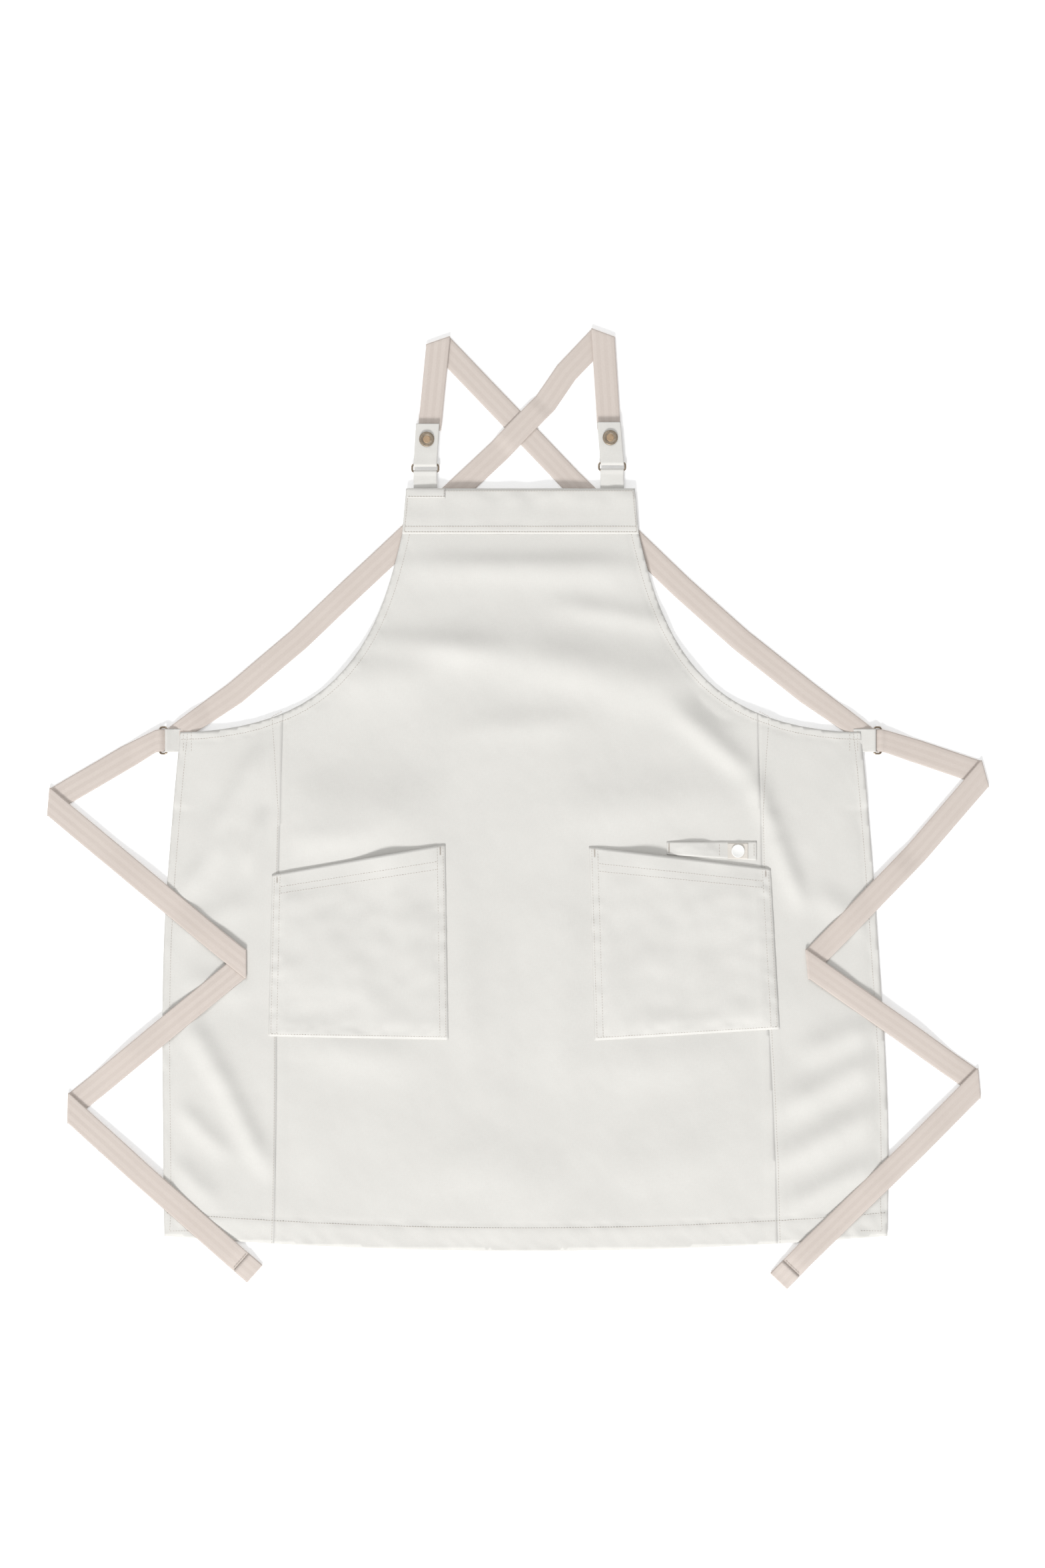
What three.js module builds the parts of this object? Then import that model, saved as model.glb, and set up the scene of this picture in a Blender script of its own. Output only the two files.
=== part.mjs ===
// Cross-back artist's apron of cotton twill, lying face up on a table with its straps folded out.
// Millimetres. +Y runs from hem to shoulders, +Z up, left and right as seen from above.
// The origin is the centre of the whole lay-out, on the table.
import * as THREE from "three";

// ---- Cloth, webbing and wire ----
const clothThickness = 1.0;
const gap = 0.3;
const webbingWidth = 25.4;
const webbingThickness = 1.4;
const wireDiameter = 2.2;

// ---- Body of the apron (half widths are from the centreline) ----
const bibTopY = 362;
const bibTopHalf = 128.5;
const bandDepth = 51;
const bandBottomHalf = 133;
const shoulderHalf = 382.5;
const shoulderY = 88;
const armholeUpperPull = [157.8, 199.8];
const armholeLowerPull = [197.1, 91.7];
const hemHalf = 406.5;
const hemCornerY = -478;
const hemDip = 17;
const hipBulge = 15.5;
const hipPullY = -60;
const skirtBulge = 5.5;
const skirtPullY = -250;
const hemShift = 6;
const seamTopHalf = 267;
const seamHemHalf = 283.5;
const bottomHemDepth = 27;
const turnedHemDepth = 9;
const seamAllowanceDepth = 12;
const patchSize = [43, 11];

// ---- Pockets: corners are inner top, outer top, outer bottom, inner bottom, as half plan ----
const pocketCorners = {
  left: [[84.5, -37.5], [279.3, -72], [283.5, -253.5], [81, -257.5]],
  right: [[77, -40.3], [281.3, -65.3], [291.5, -245.3], [83.3, -258.4]],
};
const pocketMouthRise = 8;
const pocketFacingDepth = 27;
const loopCorners = [[164.3, -35.3], [265.5, -34.6], [265.5, -56], [164.3, -49.2]];
const loopRise = 6.4;
const loopFreeShare = 0.56;
const labelX = [233, 255.8];
const labelDiscDiameter = 14.7;

// ---- Rings and tabs ----
const ringLength = 31.8;
const ringCornerRadius = 1.4;
const ringDepth = 11.1;
const barClearance = 0.4;
const flapSlack = 1.1;
const tabWidth = 26.2;
const waistTabWidth = 26;
const flapLength = 45.5;
const snapReach = 27.6;
const tabSewnLength = 16;
const snapCapDiameter = 17;
const snapSocketDiameter = 12;
const snapStudDiameter = 11;
const snapHeadDiameter = 4;
const snapMouthDiameter = 5;
const snapPostDiameter = 10;
const bibRings = {
  left: { x: -107, y: 380.6, lean: 0.06 },
  right: { x: 103, y: 382.4, lean: -0.08 },
};
const waistBarX = 397.5;
const waistRingY = 79;
const webbingInRing = 24.6;
const tieEndLength = 19;

// ---- Heights: what lies on what ----
const webbingLow = webbingThickness / 2;
const webbingOver = webbingLow + webbingThickness + gap;
const foldStep = webbingThickness + 1.2;
const underLevel = webbingThickness + gap;
const panelLevel = underLevel + clothThickness + gap;
const panelTop = panelLevel + clothThickness;
const onPanelLevel = panelTop + gap;
const patchLevel = onPanelLevel + clothThickness + gap;
const webbingOnPanel = onPanelLevel + webbingThickness / 2;
const barRadius = wireDiameter / 2;
const eyeInner = barRadius + barClearance;
const eyeOuter = eyeInner + clothThickness;
const flapInner = barRadius + flapSlack;
const flapOuter = flapInner + clothThickness;
const postHeight = 1.0;
const strapTabLevel = postHeight + gap;
const strapTabTop = strapTabLevel + clothThickness;
const barHeight = strapTabLevel + flapOuter;
const barSpacing = ringDepth - wireDiameter;
const webbingAtSnap = strapTabTop + gap + webbingThickness / 2;
const shoulderUnder = webbingAtSnap - foldStep;
const webbingOverBar = barHeight + 0.2;
const curveSteps = 22;

// ---- Finishes ----
const twill = { color: 0xebe9e3, roughness: 0.92, metalness: 0 };
const tapeCotton = { color: 0xe1d7d0, roughness: 0.9, metalness: 0 };
const antiqueBrass = { color: 0x9c8468, roughness: 0.42, metalness: 0.9 };
const steelWire = { color: 0xa9a095, roughness: 0.35, metalness: 0.95 };
const discWhite = { color: 0xf6f6f4, roughness: 0.6, metalness: 0 };

const apron = new THREE.Group();
apron.name = "artist_smock_apron";

function add(name, geometry, finish) {
  const mesh = new THREE.Mesh(geometry, new THREE.MeshStandardMaterial(finish));
  mesh.name = name;
  apron.add(mesh);
  return mesh;
}

// The skirt hangs a little to one side below the pockets.
function lean(y) {
  return hemShift * THREE.MathUtils.smoothstep(-y, 100, 400);
}

function place(sign, x, y) {
  return new THREE.Vector2(sign * x + lean(y), y);
}

function slab(points, bottom, height) {
  const geometry = new THREE.ExtrudeGeometry(new THREE.Shape(points), { depth: height, bevelEnabled: false });
  geometry.translate(0, 0, bottom);
  return geometry;
}

function closedMesh(positions, faces) {
  let volume = 0;
  const [a, b, c] = [new THREE.Vector3(), new THREE.Vector3(), new THREE.Vector3()];
  for (const [i, j, k] of faces) {
    a.copy(positions[i]);
    b.copy(positions[j]);
    c.copy(positions[k]);
    volume += a.dot(b.cross(c));
  }
  const outward = volume > 0 ? faces : faces.map(([i, j, k]) => [i, k, j]);
  const geometry = new THREE.BufferGeometry().setFromPoints(positions);
  geometry.setIndex(outward.flat());
  return geometry;
}

// ---- Outline curves, on the right-hand half ----
const bandBottomY = bibTopY - bandDepth;
const armhole = new THREE.CubicBezierCurve(
  new THREE.Vector2(bandBottomHalf, bandBottomY),
  new THREE.Vector2(...armholeUpperPull),
  new THREE.Vector2(...armholeLowerPull),
  new THREE.Vector2(shoulderHalf, shoulderY),
).getPoints(curveSteps);
const sideEdge = new THREE.CubicBezierCurve(
  new THREE.Vector2(shoulderHalf, shoulderY),
  new THREE.Vector2(shoulderHalf + hipBulge, hipPullY),
  new THREE.Vector2(hemHalf + skirtBulge, skirtPullY),
  new THREE.Vector2(hemHalf, hemCornerY),
).getPoints(curveSteps);

function hemY(x) {
  return hemCornerY - hemDip + hemDip * (x / hemHalf) ** 2;
}

function armholeY(x) {
  const next = armhole.findIndex((point) => point.x >= x);
  const [a, b] = [armhole[next - 1], armhole[next]];
  return THREE.MathUtils.mapLinear(x, a.x, b.x, a.y, b.y);
}

function seamX(y) {
  return THREE.MathUtils.mapLinear(y, armholeY(seamTopHalf), hemCornerY, seamTopHalf, seamHemHalf);
}

function sideX(y) {
  const next = sideEdge.findIndex((point) => point.y <= y);
  const [a, b] = [sideEdge[next - 1], sideEdge[next]];
  return THREE.MathUtils.mapLinear(y, a.y, b.y, a.x, b.x);
}

function steps(from, to, count) {
  return Array.from({ length: count + 1 }, (_, i) => THREE.MathUtils.lerp(from, to, i / count));
}

// ---- Centre panel and side panels, butted at the princess seams ----
const seamGap = gap / 2;
const bibHalfOutline = [
  [bibTopHalf, bibTopY],
  ...armhole.filter((point) => point.x < seamTopHalf - 2).map((point) => [point.x, point.y]),
  [seamTopHalf - seamGap, armholeY(seamTopHalf)],
  ...steps(0, -400, 4).map((y) => [seamX(y) - seamGap, y]),
];
const hemHalfOutline = steps(seamHemHalf - seamGap, 0, 6).map((x) => [x, hemY(x)]);
add("centre_panel", slab([
  ...[...bibHalfOutline, ...hemHalfOutline].map(([x, y]) => place(1, x, y)),
  ...[...bibHalfOutline, ...hemHalfOutline.slice(0, -1)].reverse().map(([x, y]) => place(-1, x, y)),
], panelLevel, clothThickness), twill);

function stripAlong(points, depth) {
  const inner = points.map((point, i) => {
    const before = points[Math.max(i - 1, 0)];
    const after = points[Math.min(i + 1, points.length - 1)];
    const run = new THREE.Vector2(after[0] - before[0], after[1] - before[1]).normalize();
    return [point[0] + run.y * depth, point[1] - run.x * depth];
  });
  return [...points, ...inner.reverse()];
}

const tabUnderPanel = waistTabWidth / 2 + 5;
const hemTopGap = bottomHemDepth + 1;
for (const [side, sign] of [["left", -1], ["right", 1]]) {
  const mirrored = (points) => points.map(([x, y]) => place(sign, x, y));

  add(`${side}_side_panel`, slab(mirrored([
    [seamTopHalf + seamGap, armholeY(seamTopHalf)],
    ...armhole.filter((point) => point.x > seamTopHalf + 2).map((point) => [point.x, point.y]),
    ...sideEdge.slice(1).map((point) => [point.x, point.y]),
    ...steps(hemHalf - 30, seamHemHalf + seamGap, 3).map((x) => [x, hemY(x)]),
    ...steps(-400, 0, 4).map((y) => [seamX(y) + seamGap, y]),
  ]), panelLevel, clothThickness), twill);

  // Turned hems and seam allowances, under the panels.
  const armholeRun = armhole
    .filter((point) => point.x < shoulderHalf - tabSewnLength)
    .map((point) => [point.x, point.y]);
  add(`${side}_armhole_facing`, slab(mirrored(stripAlong(armholeRun, turnedHemDepth)), underLevel, clothThickness),
    twill);

  const sideRun = steps(waistRingY - tabUnderPanel, hemCornerY + hemTopGap, 12).map((y) => [sideX(y), y]);
  add(`${side}_side_hem`, slab(mirrored(stripAlong(sideRun, turnedHemDepth)), 0, panelLevel - gap), twill);

  const seamRun = steps(armholeY(seamTopHalf) - turnedHemDepth - 2, hemCornerY + hemTopGap - 8, 8)
    .map((y) => [seamX(y), y]);
  add(`${side}_seam_allowance`, slab(mirrored(stripAlong(seamRun, seamAllowanceDepth)), 0, panelLevel - gap),
    twill);
}

const hemRun = steps(-hemHalf + 0.5, hemHalf - 0.5, 16);
add("bottom_hem", slab([
  ...hemRun.map((x) => new THREE.Vector2(x + hemShift, hemY(x))),
  ...[...hemRun].reverse().map((x) => new THREE.Vector2(x + hemShift, hemY(x) + bottomHemDepth)),
], 0, panelLevel - gap), twill);

// ---- Bib band, with the patch over the left tab's end ----
add("bib_band", slab([
  new THREE.Vector2(-bibTopHalf, bibTopY),
  new THREE.Vector2(bibTopHalf, bibTopY),
  new THREE.Vector2(bandBottomHalf, bandBottomY),
  new THREE.Vector2(-bandBottomHalf, bandBottomY),
], onPanelLevel, clothThickness), twill);
const patch = new THREE.BoxGeometry(patchSize[0], patchSize[1], clothThickness);
patch.translate(-bibTopHalf + 1 + patchSize[0] / 2, bibTopY - patchSize[1] / 2, patchLevel + clothThickness / 2);
add("left_corner_patch", patch, twill);

// A sewn-down sheet over a four-cornered plan, with its lower face at the height that rise(u, v) gives.
function raisedSheet(corners, thickness, rise, [uFrom, uTo] = [0, 1], [vFrom, vTo] = [0, 1], across = 24, down = 12) {
  const [innerTop, outerTop, outerBottom, innerBottom] = corners;
  const positions = [];
  for (const layer of [0, thickness]) {
    for (let j = 0; j <= down; j += 1) {
      const v = THREE.MathUtils.lerp(vFrom, vTo, j / down);
      for (let i = 0; i <= across; i += 1) {
        const u = THREE.MathUtils.lerp(uFrom, uTo, i / across);
        const top = innerTop.clone().lerp(outerTop, u);
        const bottom = innerBottom.clone().lerp(outerBottom, u);
        const point = top.lerp(bottom, v);
        positions.push(new THREE.Vector3(point.x, point.y, rise(u, v) + layer));
      }
    }
  }
  const layerSize = (across + 1) * (down + 1);
  const at = (i, j, layer) => layer * layerSize + j * (across + 1) + i;
  const faces = [];
  const quad = (a, b, c, d) => faces.push([a, b, c], [a, c, d]);
  for (let j = 0; j < down; j += 1) {
    for (let i = 0; i < across; i += 1) {
      quad(at(i, j, 0), at(i + 1, j, 0), at(i + 1, j + 1, 0), at(i, j + 1, 0));
      quad(at(i, j, 1), at(i, j + 1, 1), at(i + 1, j + 1, 1), at(i + 1, j, 1));
    }
    quad(at(0, j, 0), at(0, j + 1, 0), at(0, j + 1, 1), at(0, j, 1));
    quad(at(across, j, 0), at(across, j, 1), at(across, j + 1, 1), at(across, j + 1, 0));
  }
  for (let i = 0; i < across; i += 1) {
    quad(at(i, 0, 0), at(i, 0, 1), at(i + 1, 0, 1), at(i + 1, 0, 0));
    quad(at(i, down, 0), at(i + 1, down, 0), at(i + 1, down, 1), at(i, down, 1));
  }
  return closedMesh(positions, faces);
}

// ---- Pockets: sewn on three sides, standing open at the mouth ----
function pocketRise(u, v) {
  const across = Math.min(Math.sin(Math.PI * u) * 1.35, 1) ** 1.2;
  return onPanelLevel + pocketMouthRise * across * Math.cos(Math.PI / 2 * v) ** 1.3;
}

for (const [side, sign] of [["left", -1], ["right", 1]]) {
  const corners = pocketCorners[side].map(([x, y]) => new THREE.Vector2(sign * x, y));
  add(`${side}_pocket`, raisedSheet(corners, clothThickness, pocketRise), twill);
  const facingShare = pocketFacingDepth / (corners[1].y - corners[2].y);
  const facingRise = (u, v) => pocketRise(u, v) - gap - clothThickness;
  add(`${side}_pocket_facing`,
    raisedSheet(corners, clothThickness, facingRise, [0.15, 0.85], [0.005, facingShare], 20, 4), twill);
}

// ---- Utility loop above the right pocket, with its label sewn round the end ----
function loopHeight(u) {
  const along = Math.min(u / loopFreeShare, 1);
  return onPanelLevel + loopRise * Math.sin(Math.PI * along) ** 1.2;
}

const loopPlan = loopCorners.map(([x, y]) => new THREE.Vector2(x, y));
add("utility_loop", raisedSheet(loopPlan, clothThickness, loopHeight, [0, 1], [0, 1], 26, 2), twill);
const labelThickness = 0.5;
const labelBottom = patchLevel;
const labelDepth = loopCorners[0][1] - loopCorners[2][1] - 3;
const labelY = (loopCorners[1][1] + loopCorners[2][1]) / 2;
const label = new THREE.BoxGeometry(labelX[1] - labelX[0], labelDepth, labelThickness);
label.translate((labelX[0] + labelX[1]) / 2, labelY, labelBottom + labelThickness / 2);
add("loop_label", label, tapeCotton);
const disc = new THREE.CylinderGeometry(labelDiscDiameter / 2, labelDiscDiameter / 2, labelThickness, 32);
disc.rotateX(Math.PI / 2);
disc.translate((labelX[0] + labelX[1]) / 2, labelY, labelBottom + labelThickness * 1.5 + gap);
add("label_disc", disc, discWhite);

// ---- Rectangular wire ring between two bars that lie along X, first bar at the origin ----
function wireRing(tilt) {
  const half = ringLength / 2 - barRadius;
  const path = [];
  const centres = [[1, -1], [1, 1], [-1, 1], [-1, -1]];
  centres.forEach(([sx, sy], corner) => {
    for (const turn of steps(0, Math.PI / 2, 4)) {
      const angle = -Math.PI / 2 + corner * Math.PI / 2 + turn;
      path.push(new THREE.Vector3(
        sx * (half - ringCornerRadius) + ringCornerRadius * Math.cos(angle),
        barSpacing / 2 + sy * (barSpacing / 2 - ringCornerRadius) + ringCornerRadius * Math.sin(angle),
        0,
      ));
    }
  });
  const sides = 10;
  const positions = [];
  path.forEach((point, i) => {
    const before = path[(i + path.length - 1) % path.length];
    const after = path[(i + 1) % path.length];
    const run = after.clone().sub(before).normalize();
    const outward = new THREE.Vector3(run.y, -run.x, 0);
    for (let k = 0; k < sides; k += 1) {
      const angle = 2 * Math.PI * k / sides;
      positions.push(point.clone()
        .addScaledVector(outward, barRadius * Math.cos(angle))
        .add(new THREE.Vector3(0, 0, barRadius * Math.sin(angle))));
    }
  });
  const faces = [];
  for (let i = 0; i < path.length; i += 1) {
    const next = (i + 1) % path.length;
    for (let k = 0; k < sides; k += 1) {
      const turn = (k + 1) % sides;
      const [a, b] = [i * sides + k, next * sides + k];
      const [c, d] = [next * sides + turn, i * sides + turn];
      faces.push([a, b, c], [a, c, d]);
    }
  }
  const geometry = closedMesh(positions, faces);
  geometry.rotateX(-tilt);
  return geometry;
}

// ---- Cloth tab with an eye round a bar at the origin; its sewn end points to -Y ----
function ringTab(width, length, sewnBottom) {
  const shape = new THREE.Shape();
  const low = sewnBottom - barHeight;
  const high = low + clothThickness;
  const meet = Math.asin(Math.max(high, -eyeOuter + 0.05) / eyeOuter);
  shape.moveTo(-length, low);
  shape.lineTo(0, -eyeOuter);
  shape.absarc(0, 0, eyeOuter, -Math.PI / 2, Math.PI - meet, false);
  shape.lineTo(-length, high);
  shape.holes.push(new THREE.Path().absarc(0, 0, eyeInner, 0, 2 * Math.PI, true));
  const geometry = new THREE.ExtrudeGeometry(shape, { depth: width, bevelEnabled: false, curveSegments: 10 });
  geometry.translate(0, 0, -width / 2);
  // The drawn plane (along, up) becomes (Y, Z) and the extrusion becomes X.
  geometry.applyMatrix4(new THREE.Matrix4().set(0, 0, 1, 0, 1, 0, 0, 0, 0, 1, 0, 0, 0, 0, 0, 1));
  return geometry;
}

function sheared(geometry, slope) {
  return geometry.applyMatrix4(new THREE.Matrix4().set(1, slope, 0, 0, 0, 1, 0, 0, 0, 0, 1, 0, 0, 0, 0, 1));
}

function turned(profile, segments = 28) {
  const geometry = new THREE.LatheGeometry(profile.map(([r, z]) => new THREE.Vector2(r, z)), segments);
  geometry.rotateX(Math.PI / 2);
  return geometry;
}

// A profile drawn in (along, up), pushed out across X to the tab's width.
function acrossX(outline, width) {
  const shape = new THREE.Shape(outline.map(([along, up]) => new THREE.Vector2(along, up)));
  const geometry = new THREE.ExtrudeGeometry(shape, { depth: width, bevelEnabled: false });
  geometry.translate(0, 0, -width / 2);
  return geometry.applyMatrix4(new THREE.Matrix4().set(0, 0, 1, 0, 1, 0, 0, 0, 0, 1, 0, 0, 0, 0, 0, 1));
}

// ---- Bib tabs, rings and snap flaps ----
// The flap turns round the ring's upper bar and lies back on itself; its end is left open underneath.
const wrapAngles = steps(THREE.MathUtils.degToRad(190), Math.PI / 2, 8);
const flapOutline = [
  ...wrapAngles.map((angle) => [flapOuter * Math.cos(angle), flapOuter * Math.sin(angle)]),
  [flapLength, flapOuter],
  [flapLength, flapInner],
  ...[...wrapAngles].reverse().map((angle) => [flapInner * Math.cos(angle), flapInner * Math.sin(angle)]),
];
const backStart = flapOuter + gap;
const backOutline = [
  [backStart, -flapOuter],
  [flapLength, -flapOuter],
  [flapLength, -flapInner],
  [backStart, -flapInner],
];
const upperBarHeight = strapTabTop + gap + barRadius;
const bibRingTilt = Math.asin((barHeight - upperBarHeight) / barSpacing);

const capFoot = flapOuter + gap;
const capRadius = snapCapDiameter / 2;
const capProfile = [
  [0, capFoot],
  [capRadius - 0.4, capFoot],
  [capRadius, capFoot + 0.5],
  [capRadius - 0.6, capFoot + 1.4],
  [capRadius - 2, capFoot + 1.7],
  [capRadius - 3, capFoot + 1.3],
  [0, capFoot + 1.5],
];
const socketTop = flapInner - gap;
const socketFoot = socketTop - 2.6;
const socketProfile = [
  [snapMouthDiameter / 2, socketFoot],
  [snapSocketDiameter / 2, socketFoot],
  [snapSocketDiameter / 2, socketTop],
  [snapMouthDiameter / 2, socketTop],
  [snapMouthDiameter / 2, socketFoot],
];
const studFoot = -flapInner + gap;
const studBaseTop = studFoot + 0.7;
const studProfile = [[0, studFoot], [snapStudDiameter / 2, studFoot], [snapStudDiameter / 2, studBaseTop],
  [snapHeadDiameter / 2, studBaseTop], [snapHeadDiameter / 2, socketFoot + 1.2], [0, socketFoot + 1.4]];
const postProfile = [
  [0, -barHeight],
  [snapPostDiameter / 2, -barHeight],
  [snapPostDiameter / 2, -flapOuter - gap],
  [0, -flapOuter - gap],
];

for (const [side, ring] of Object.entries(bibRings)) {
  const tab = add(`${side}_bib_tab`, ringTab(tabWidth, ring.y - bibTopY + tabSewnLength, underLevel), twill);
  tab.position.set(ring.x, ring.y, barHeight);
  const wire = add(`${side}_bib_ring`, wireRing(bibRingTilt), steelWire);
  wire.position.set(ring.x, ring.y, barHeight);

  const upperBarY = ring.y + barSpacing * Math.cos(bibRingTilt);
  const atBar = (mesh) => mesh.position.set(ring.x, upperBarY, barHeight);
  const atSnap = (mesh) => mesh.position.set(ring.x + ring.lean * snapReach, upperBarY + snapReach, barHeight);
  atBar(add(`${side}_snap_flap`, sheared(acrossX(flapOutline, tabWidth), ring.lean), twill));
  atBar(add(`${side}_strap_tab`, sheared(acrossX(backOutline, tabWidth), ring.lean), twill));
  atSnap(add(`${side}_snap_cap`, turned(capProfile), antiqueBrass));
  atSnap(add(`${side}_snap_socket`, turned(socketProfile), antiqueBrass));
  atSnap(add(`${side}_snap_stud`, turned(studProfile), antiqueBrass));
  atSnap(add(`${side}_snap_post`, turned(postProfile), antiqueBrass));
}

// ---- Waist tabs and rings: the outer bar rests on the table ----
const waistRingTilt = Math.asin((barHeight - barRadius) / barSpacing);
const waistOuterBarX = waistBarX + barSpacing * Math.cos(waistRingTilt);
for (const [side, sign] of [["left", -1], ["right", 1]]) {
  const tabLength = waistBarX - shoulderHalf + tabSewnLength / 2;
  const tab = add(`${side}_side_tab`, ringTab(waistTabWidth, tabLength, underLevel), twill);
  const wire = add(`${side}_waist_ring`, wireRing(waistRingTilt), steelWire);
  for (const mesh of [tab, wire]) {
    mesh.position.set(sign * waistBarX, waistRingY, barHeight);
    mesh.rotation.z = -sign * Math.PI / 2;
  }
}

// ---- Webbing: a flat tape along a route, creased at its folds ----
// A route step is a plan point and a height. A fold gives the height it comes out at too, and a ring step is
// squared to the ring.
const onTable = webbingLow;
const overPanel = webbingOnPanel;
const ringIn = waistBarX + 0.4;
const ringOut = waistOuterBarX + 5;
const startY = ({ y }) => y + barSpacing + snapReach + snapSocketDiameter / 2 + 3;

// A tie lies on the table, or on the apron where it is over it or close to its edge.
const climbLength = 33;
function restHeight([x, y]) {
  const beside = y > shoulderY ? Infinity : Math.abs(x - lean(y)) - sideX(Math.max(y, hemCornerY));
  const below = hemY(x - hemShift) - y;
  return Math.max(beside, below) < climbLength ? overPanel : onTable;
}

const lay = (x, y) => ({ at: [x, y], z: restHeight([x, y]) });
const layRaised = (x, y) => ({ at: [x, y], z: restHeight([x, y]) + foldStep });
const foldOver = (x, y) => ({ ...lay(x, y), foldsTo: restHeight([x, y]) + foldStep });
const foldUnder = (x, y) => ({ ...layRaised(x, y), foldsTo: restHeight([x, y]) });

// From the left bib tab over the shoulder to the right waist ring, and on as the right tie.
const strapFromLeft = [
  { at: [-98, startY(bibRings.left)], z: webbingAtSnap },
  { at: [-92.1, 527.3], z: webbingAtSnap, foldsTo: shoulderUnder },
  { at: [-44.3, 477], z: onTable },
  { at: [56.3, 372], z: onTable },
  { at: [180.8, 252], z: onTable },
  { at: [248, 192], z: onTable },
  { at: [323.6, 132], z: onTable },
  { at: [ringIn, waistRingY], z: onTable, ring: true },
  { at: [waistOuterBarX, waistRingY], z: webbingOverBar, ring: true },
  { at: [ringOut, waistRingY - 1], z: webbingOverBar - 1.5, ring: true },
  lay(445, 67),
  foldOver(521.3, 41.3),
  layRaised(444.4, -48),
  lay(424, -69),
  foldOver(323.3, -172.5),
  layRaised(352, -192.5),
  lay(392, -220.5),
  lay(434, -250),
  lay(486, -287),
  foldOver(514.5, -306.8),
  lay(443.6, -378),
  lay(315, -503),
  lay(291, -528.4),
];

// From the right bib tab over the first strap to the left waist ring, and on as the left tie.
const strapFromRight = [
  { at: [98.3, startY(bibRings.right)], z: webbingAtSnap },
  { at: [92.7, 536], z: webbingAtSnap, foldsTo: shoulderUnder },
  { at: [51.4, 492.8], z: onTable },
  { at: [28, 458.5], z: onTable },
  { at: [17.5, 448], z: webbingOver },
  { at: [-12.5, 417], z: webbingOver },
  { at: [-23, 406], z: onTable },
  { at: [-187.5, 252], z: onTable },
  { at: [-250.5, 192], z: onTable },
  { at: [-321.8, 132], z: onTable },
  { at: [-ringIn, waistRingY], z: onTable, ring: true },
  { at: [-waistOuterBarX, waistRingY], z: webbingOverBar, ring: true },
  { at: [-ringOut, waistRingY - 1], z: webbingOverBar - 1.5, ring: true },
  lay(-442, 61),
  foldOver(-529.5, 9.8),
  layRaised(-463, -46),
  lay(-420, -81.5),
  lay(-394, -103),
  layRaised(-340, -147.5),
  foldUnder(-309.8, -171.8),
  lay(-427, -268),
  lay(-480, -312),
  foldOver(-507.8, -334.5),
  lay(-424, -410),
  lay(-326, -496.5),
  lay(-299.6, -520.1),
];

function tape(route, thickness, width = webbingWidth) {
  const stations = [];
  let faceUp = 1;
  route.forEach((step, i) => {
    const here = new THREE.Vector2(...step.at);
    const toHere = i > 0 ? here.clone().sub(new THREE.Vector2(...route[i - 1].at)).normalize() : null;
    const fromHere = i < route.length - 1 ? new THREE.Vector2(...route[i + 1].at).sub(here).normalize() : null;
    const incoming = toHere ?? fromHere;
    const outgoing = fromHere ?? toHere;
    const leftOf = (run) => new THREE.Vector2(-run.y, run.x).multiplyScalar(faceUp);
    const along = incoming.clone().add(outgoing).normalize();
    const halfWidth = width / 2 / Math.abs(along.dot(incoming));
    if (step.foldsTo === undefined) {
      const lateral = step.ring
        ? new THREE.Vector2(0, Math.sign(leftOf(along).y) * webbingInRing / 2)
        : leftOf(along).multiplyScalar(halfWidth);
      stations.push({
        centre: new THREE.Vector3(here.x, here.y, step.z),
        lateral: new THREE.Vector3(lateral.x, lateral.y, 0),
        normal: new THREE.Vector3(0, 0, faceUp),
      });
      return;
    }
    const crease = along.clone().multiplyScalar(width / 2 / along.dot(leftOf(incoming)));
    const outward = incoming.clone().sub(outgoing).normalize();
    const up = Math.sign(step.foldsTo - step.z);
    const radius = Math.abs(step.foldsTo - step.z) / 2;
    for (const angle of steps(0, Math.PI, 6)) {
      const radial = new THREE.Vector3(outward.x * Math.sin(angle), outward.y * Math.sin(angle), -up * Math.cos(angle));
      stations.push({
        centre: new THREE.Vector3(here.x, here.y, (step.z + step.foldsTo) / 2).addScaledVector(radial, radius),
        lateral: new THREE.Vector3(crease.x, crease.y, 0),
        normal: radial.multiplyScalar(-faceUp * up),
      });
    }
    faceUp = -faceUp;
  });
  const positions = stations.flatMap(({ centre, lateral, normal }) => [[1, 1], [1, -1], [-1, -1], [-1, 1]].map(
    ([sideways, upwards]) => centre.clone()
      .addScaledVector(lateral, sideways)
      .addScaledVector(normal, upwards * thickness / 2),
  ));
  const faces = [[0, 1, 2], [0, 2, 3]];
  for (let i = 0; i < stations.length - 1; i += 1) {
    for (let k = 0; k < 4; k += 1) {
      const [a, b] = [4 * i + k, 4 * i + (k + 1) % 4];
      faces.push([a, a + 4, b + 4], [a, b + 4, b]);
    }
  }
  const last = positions.length - 4;
  faces.push([last, last + 2, last + 1], [last, last + 3, last + 2]);
  return closedMesh(positions, faces);
}

function tieEnd(route) {
  const [before, end] = route.slice(-2);
  const run = new THREE.Vector2(...end.at).sub(new THREE.Vector2(...before.at));
  const share = tieEndLength / run.length();
  const raised = webbingThickness / 2 + gap + clothThickness / 2;
  const start = new THREE.Vector2(...end.at).addScaledVector(run, -share);
  const startZ = THREE.MathUtils.lerp(end.z, before.z, share);
  return [
    { at: start.toArray(), z: startZ + raised },
    { at: end.at, z: end.z + raised },
  ];
}

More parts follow.
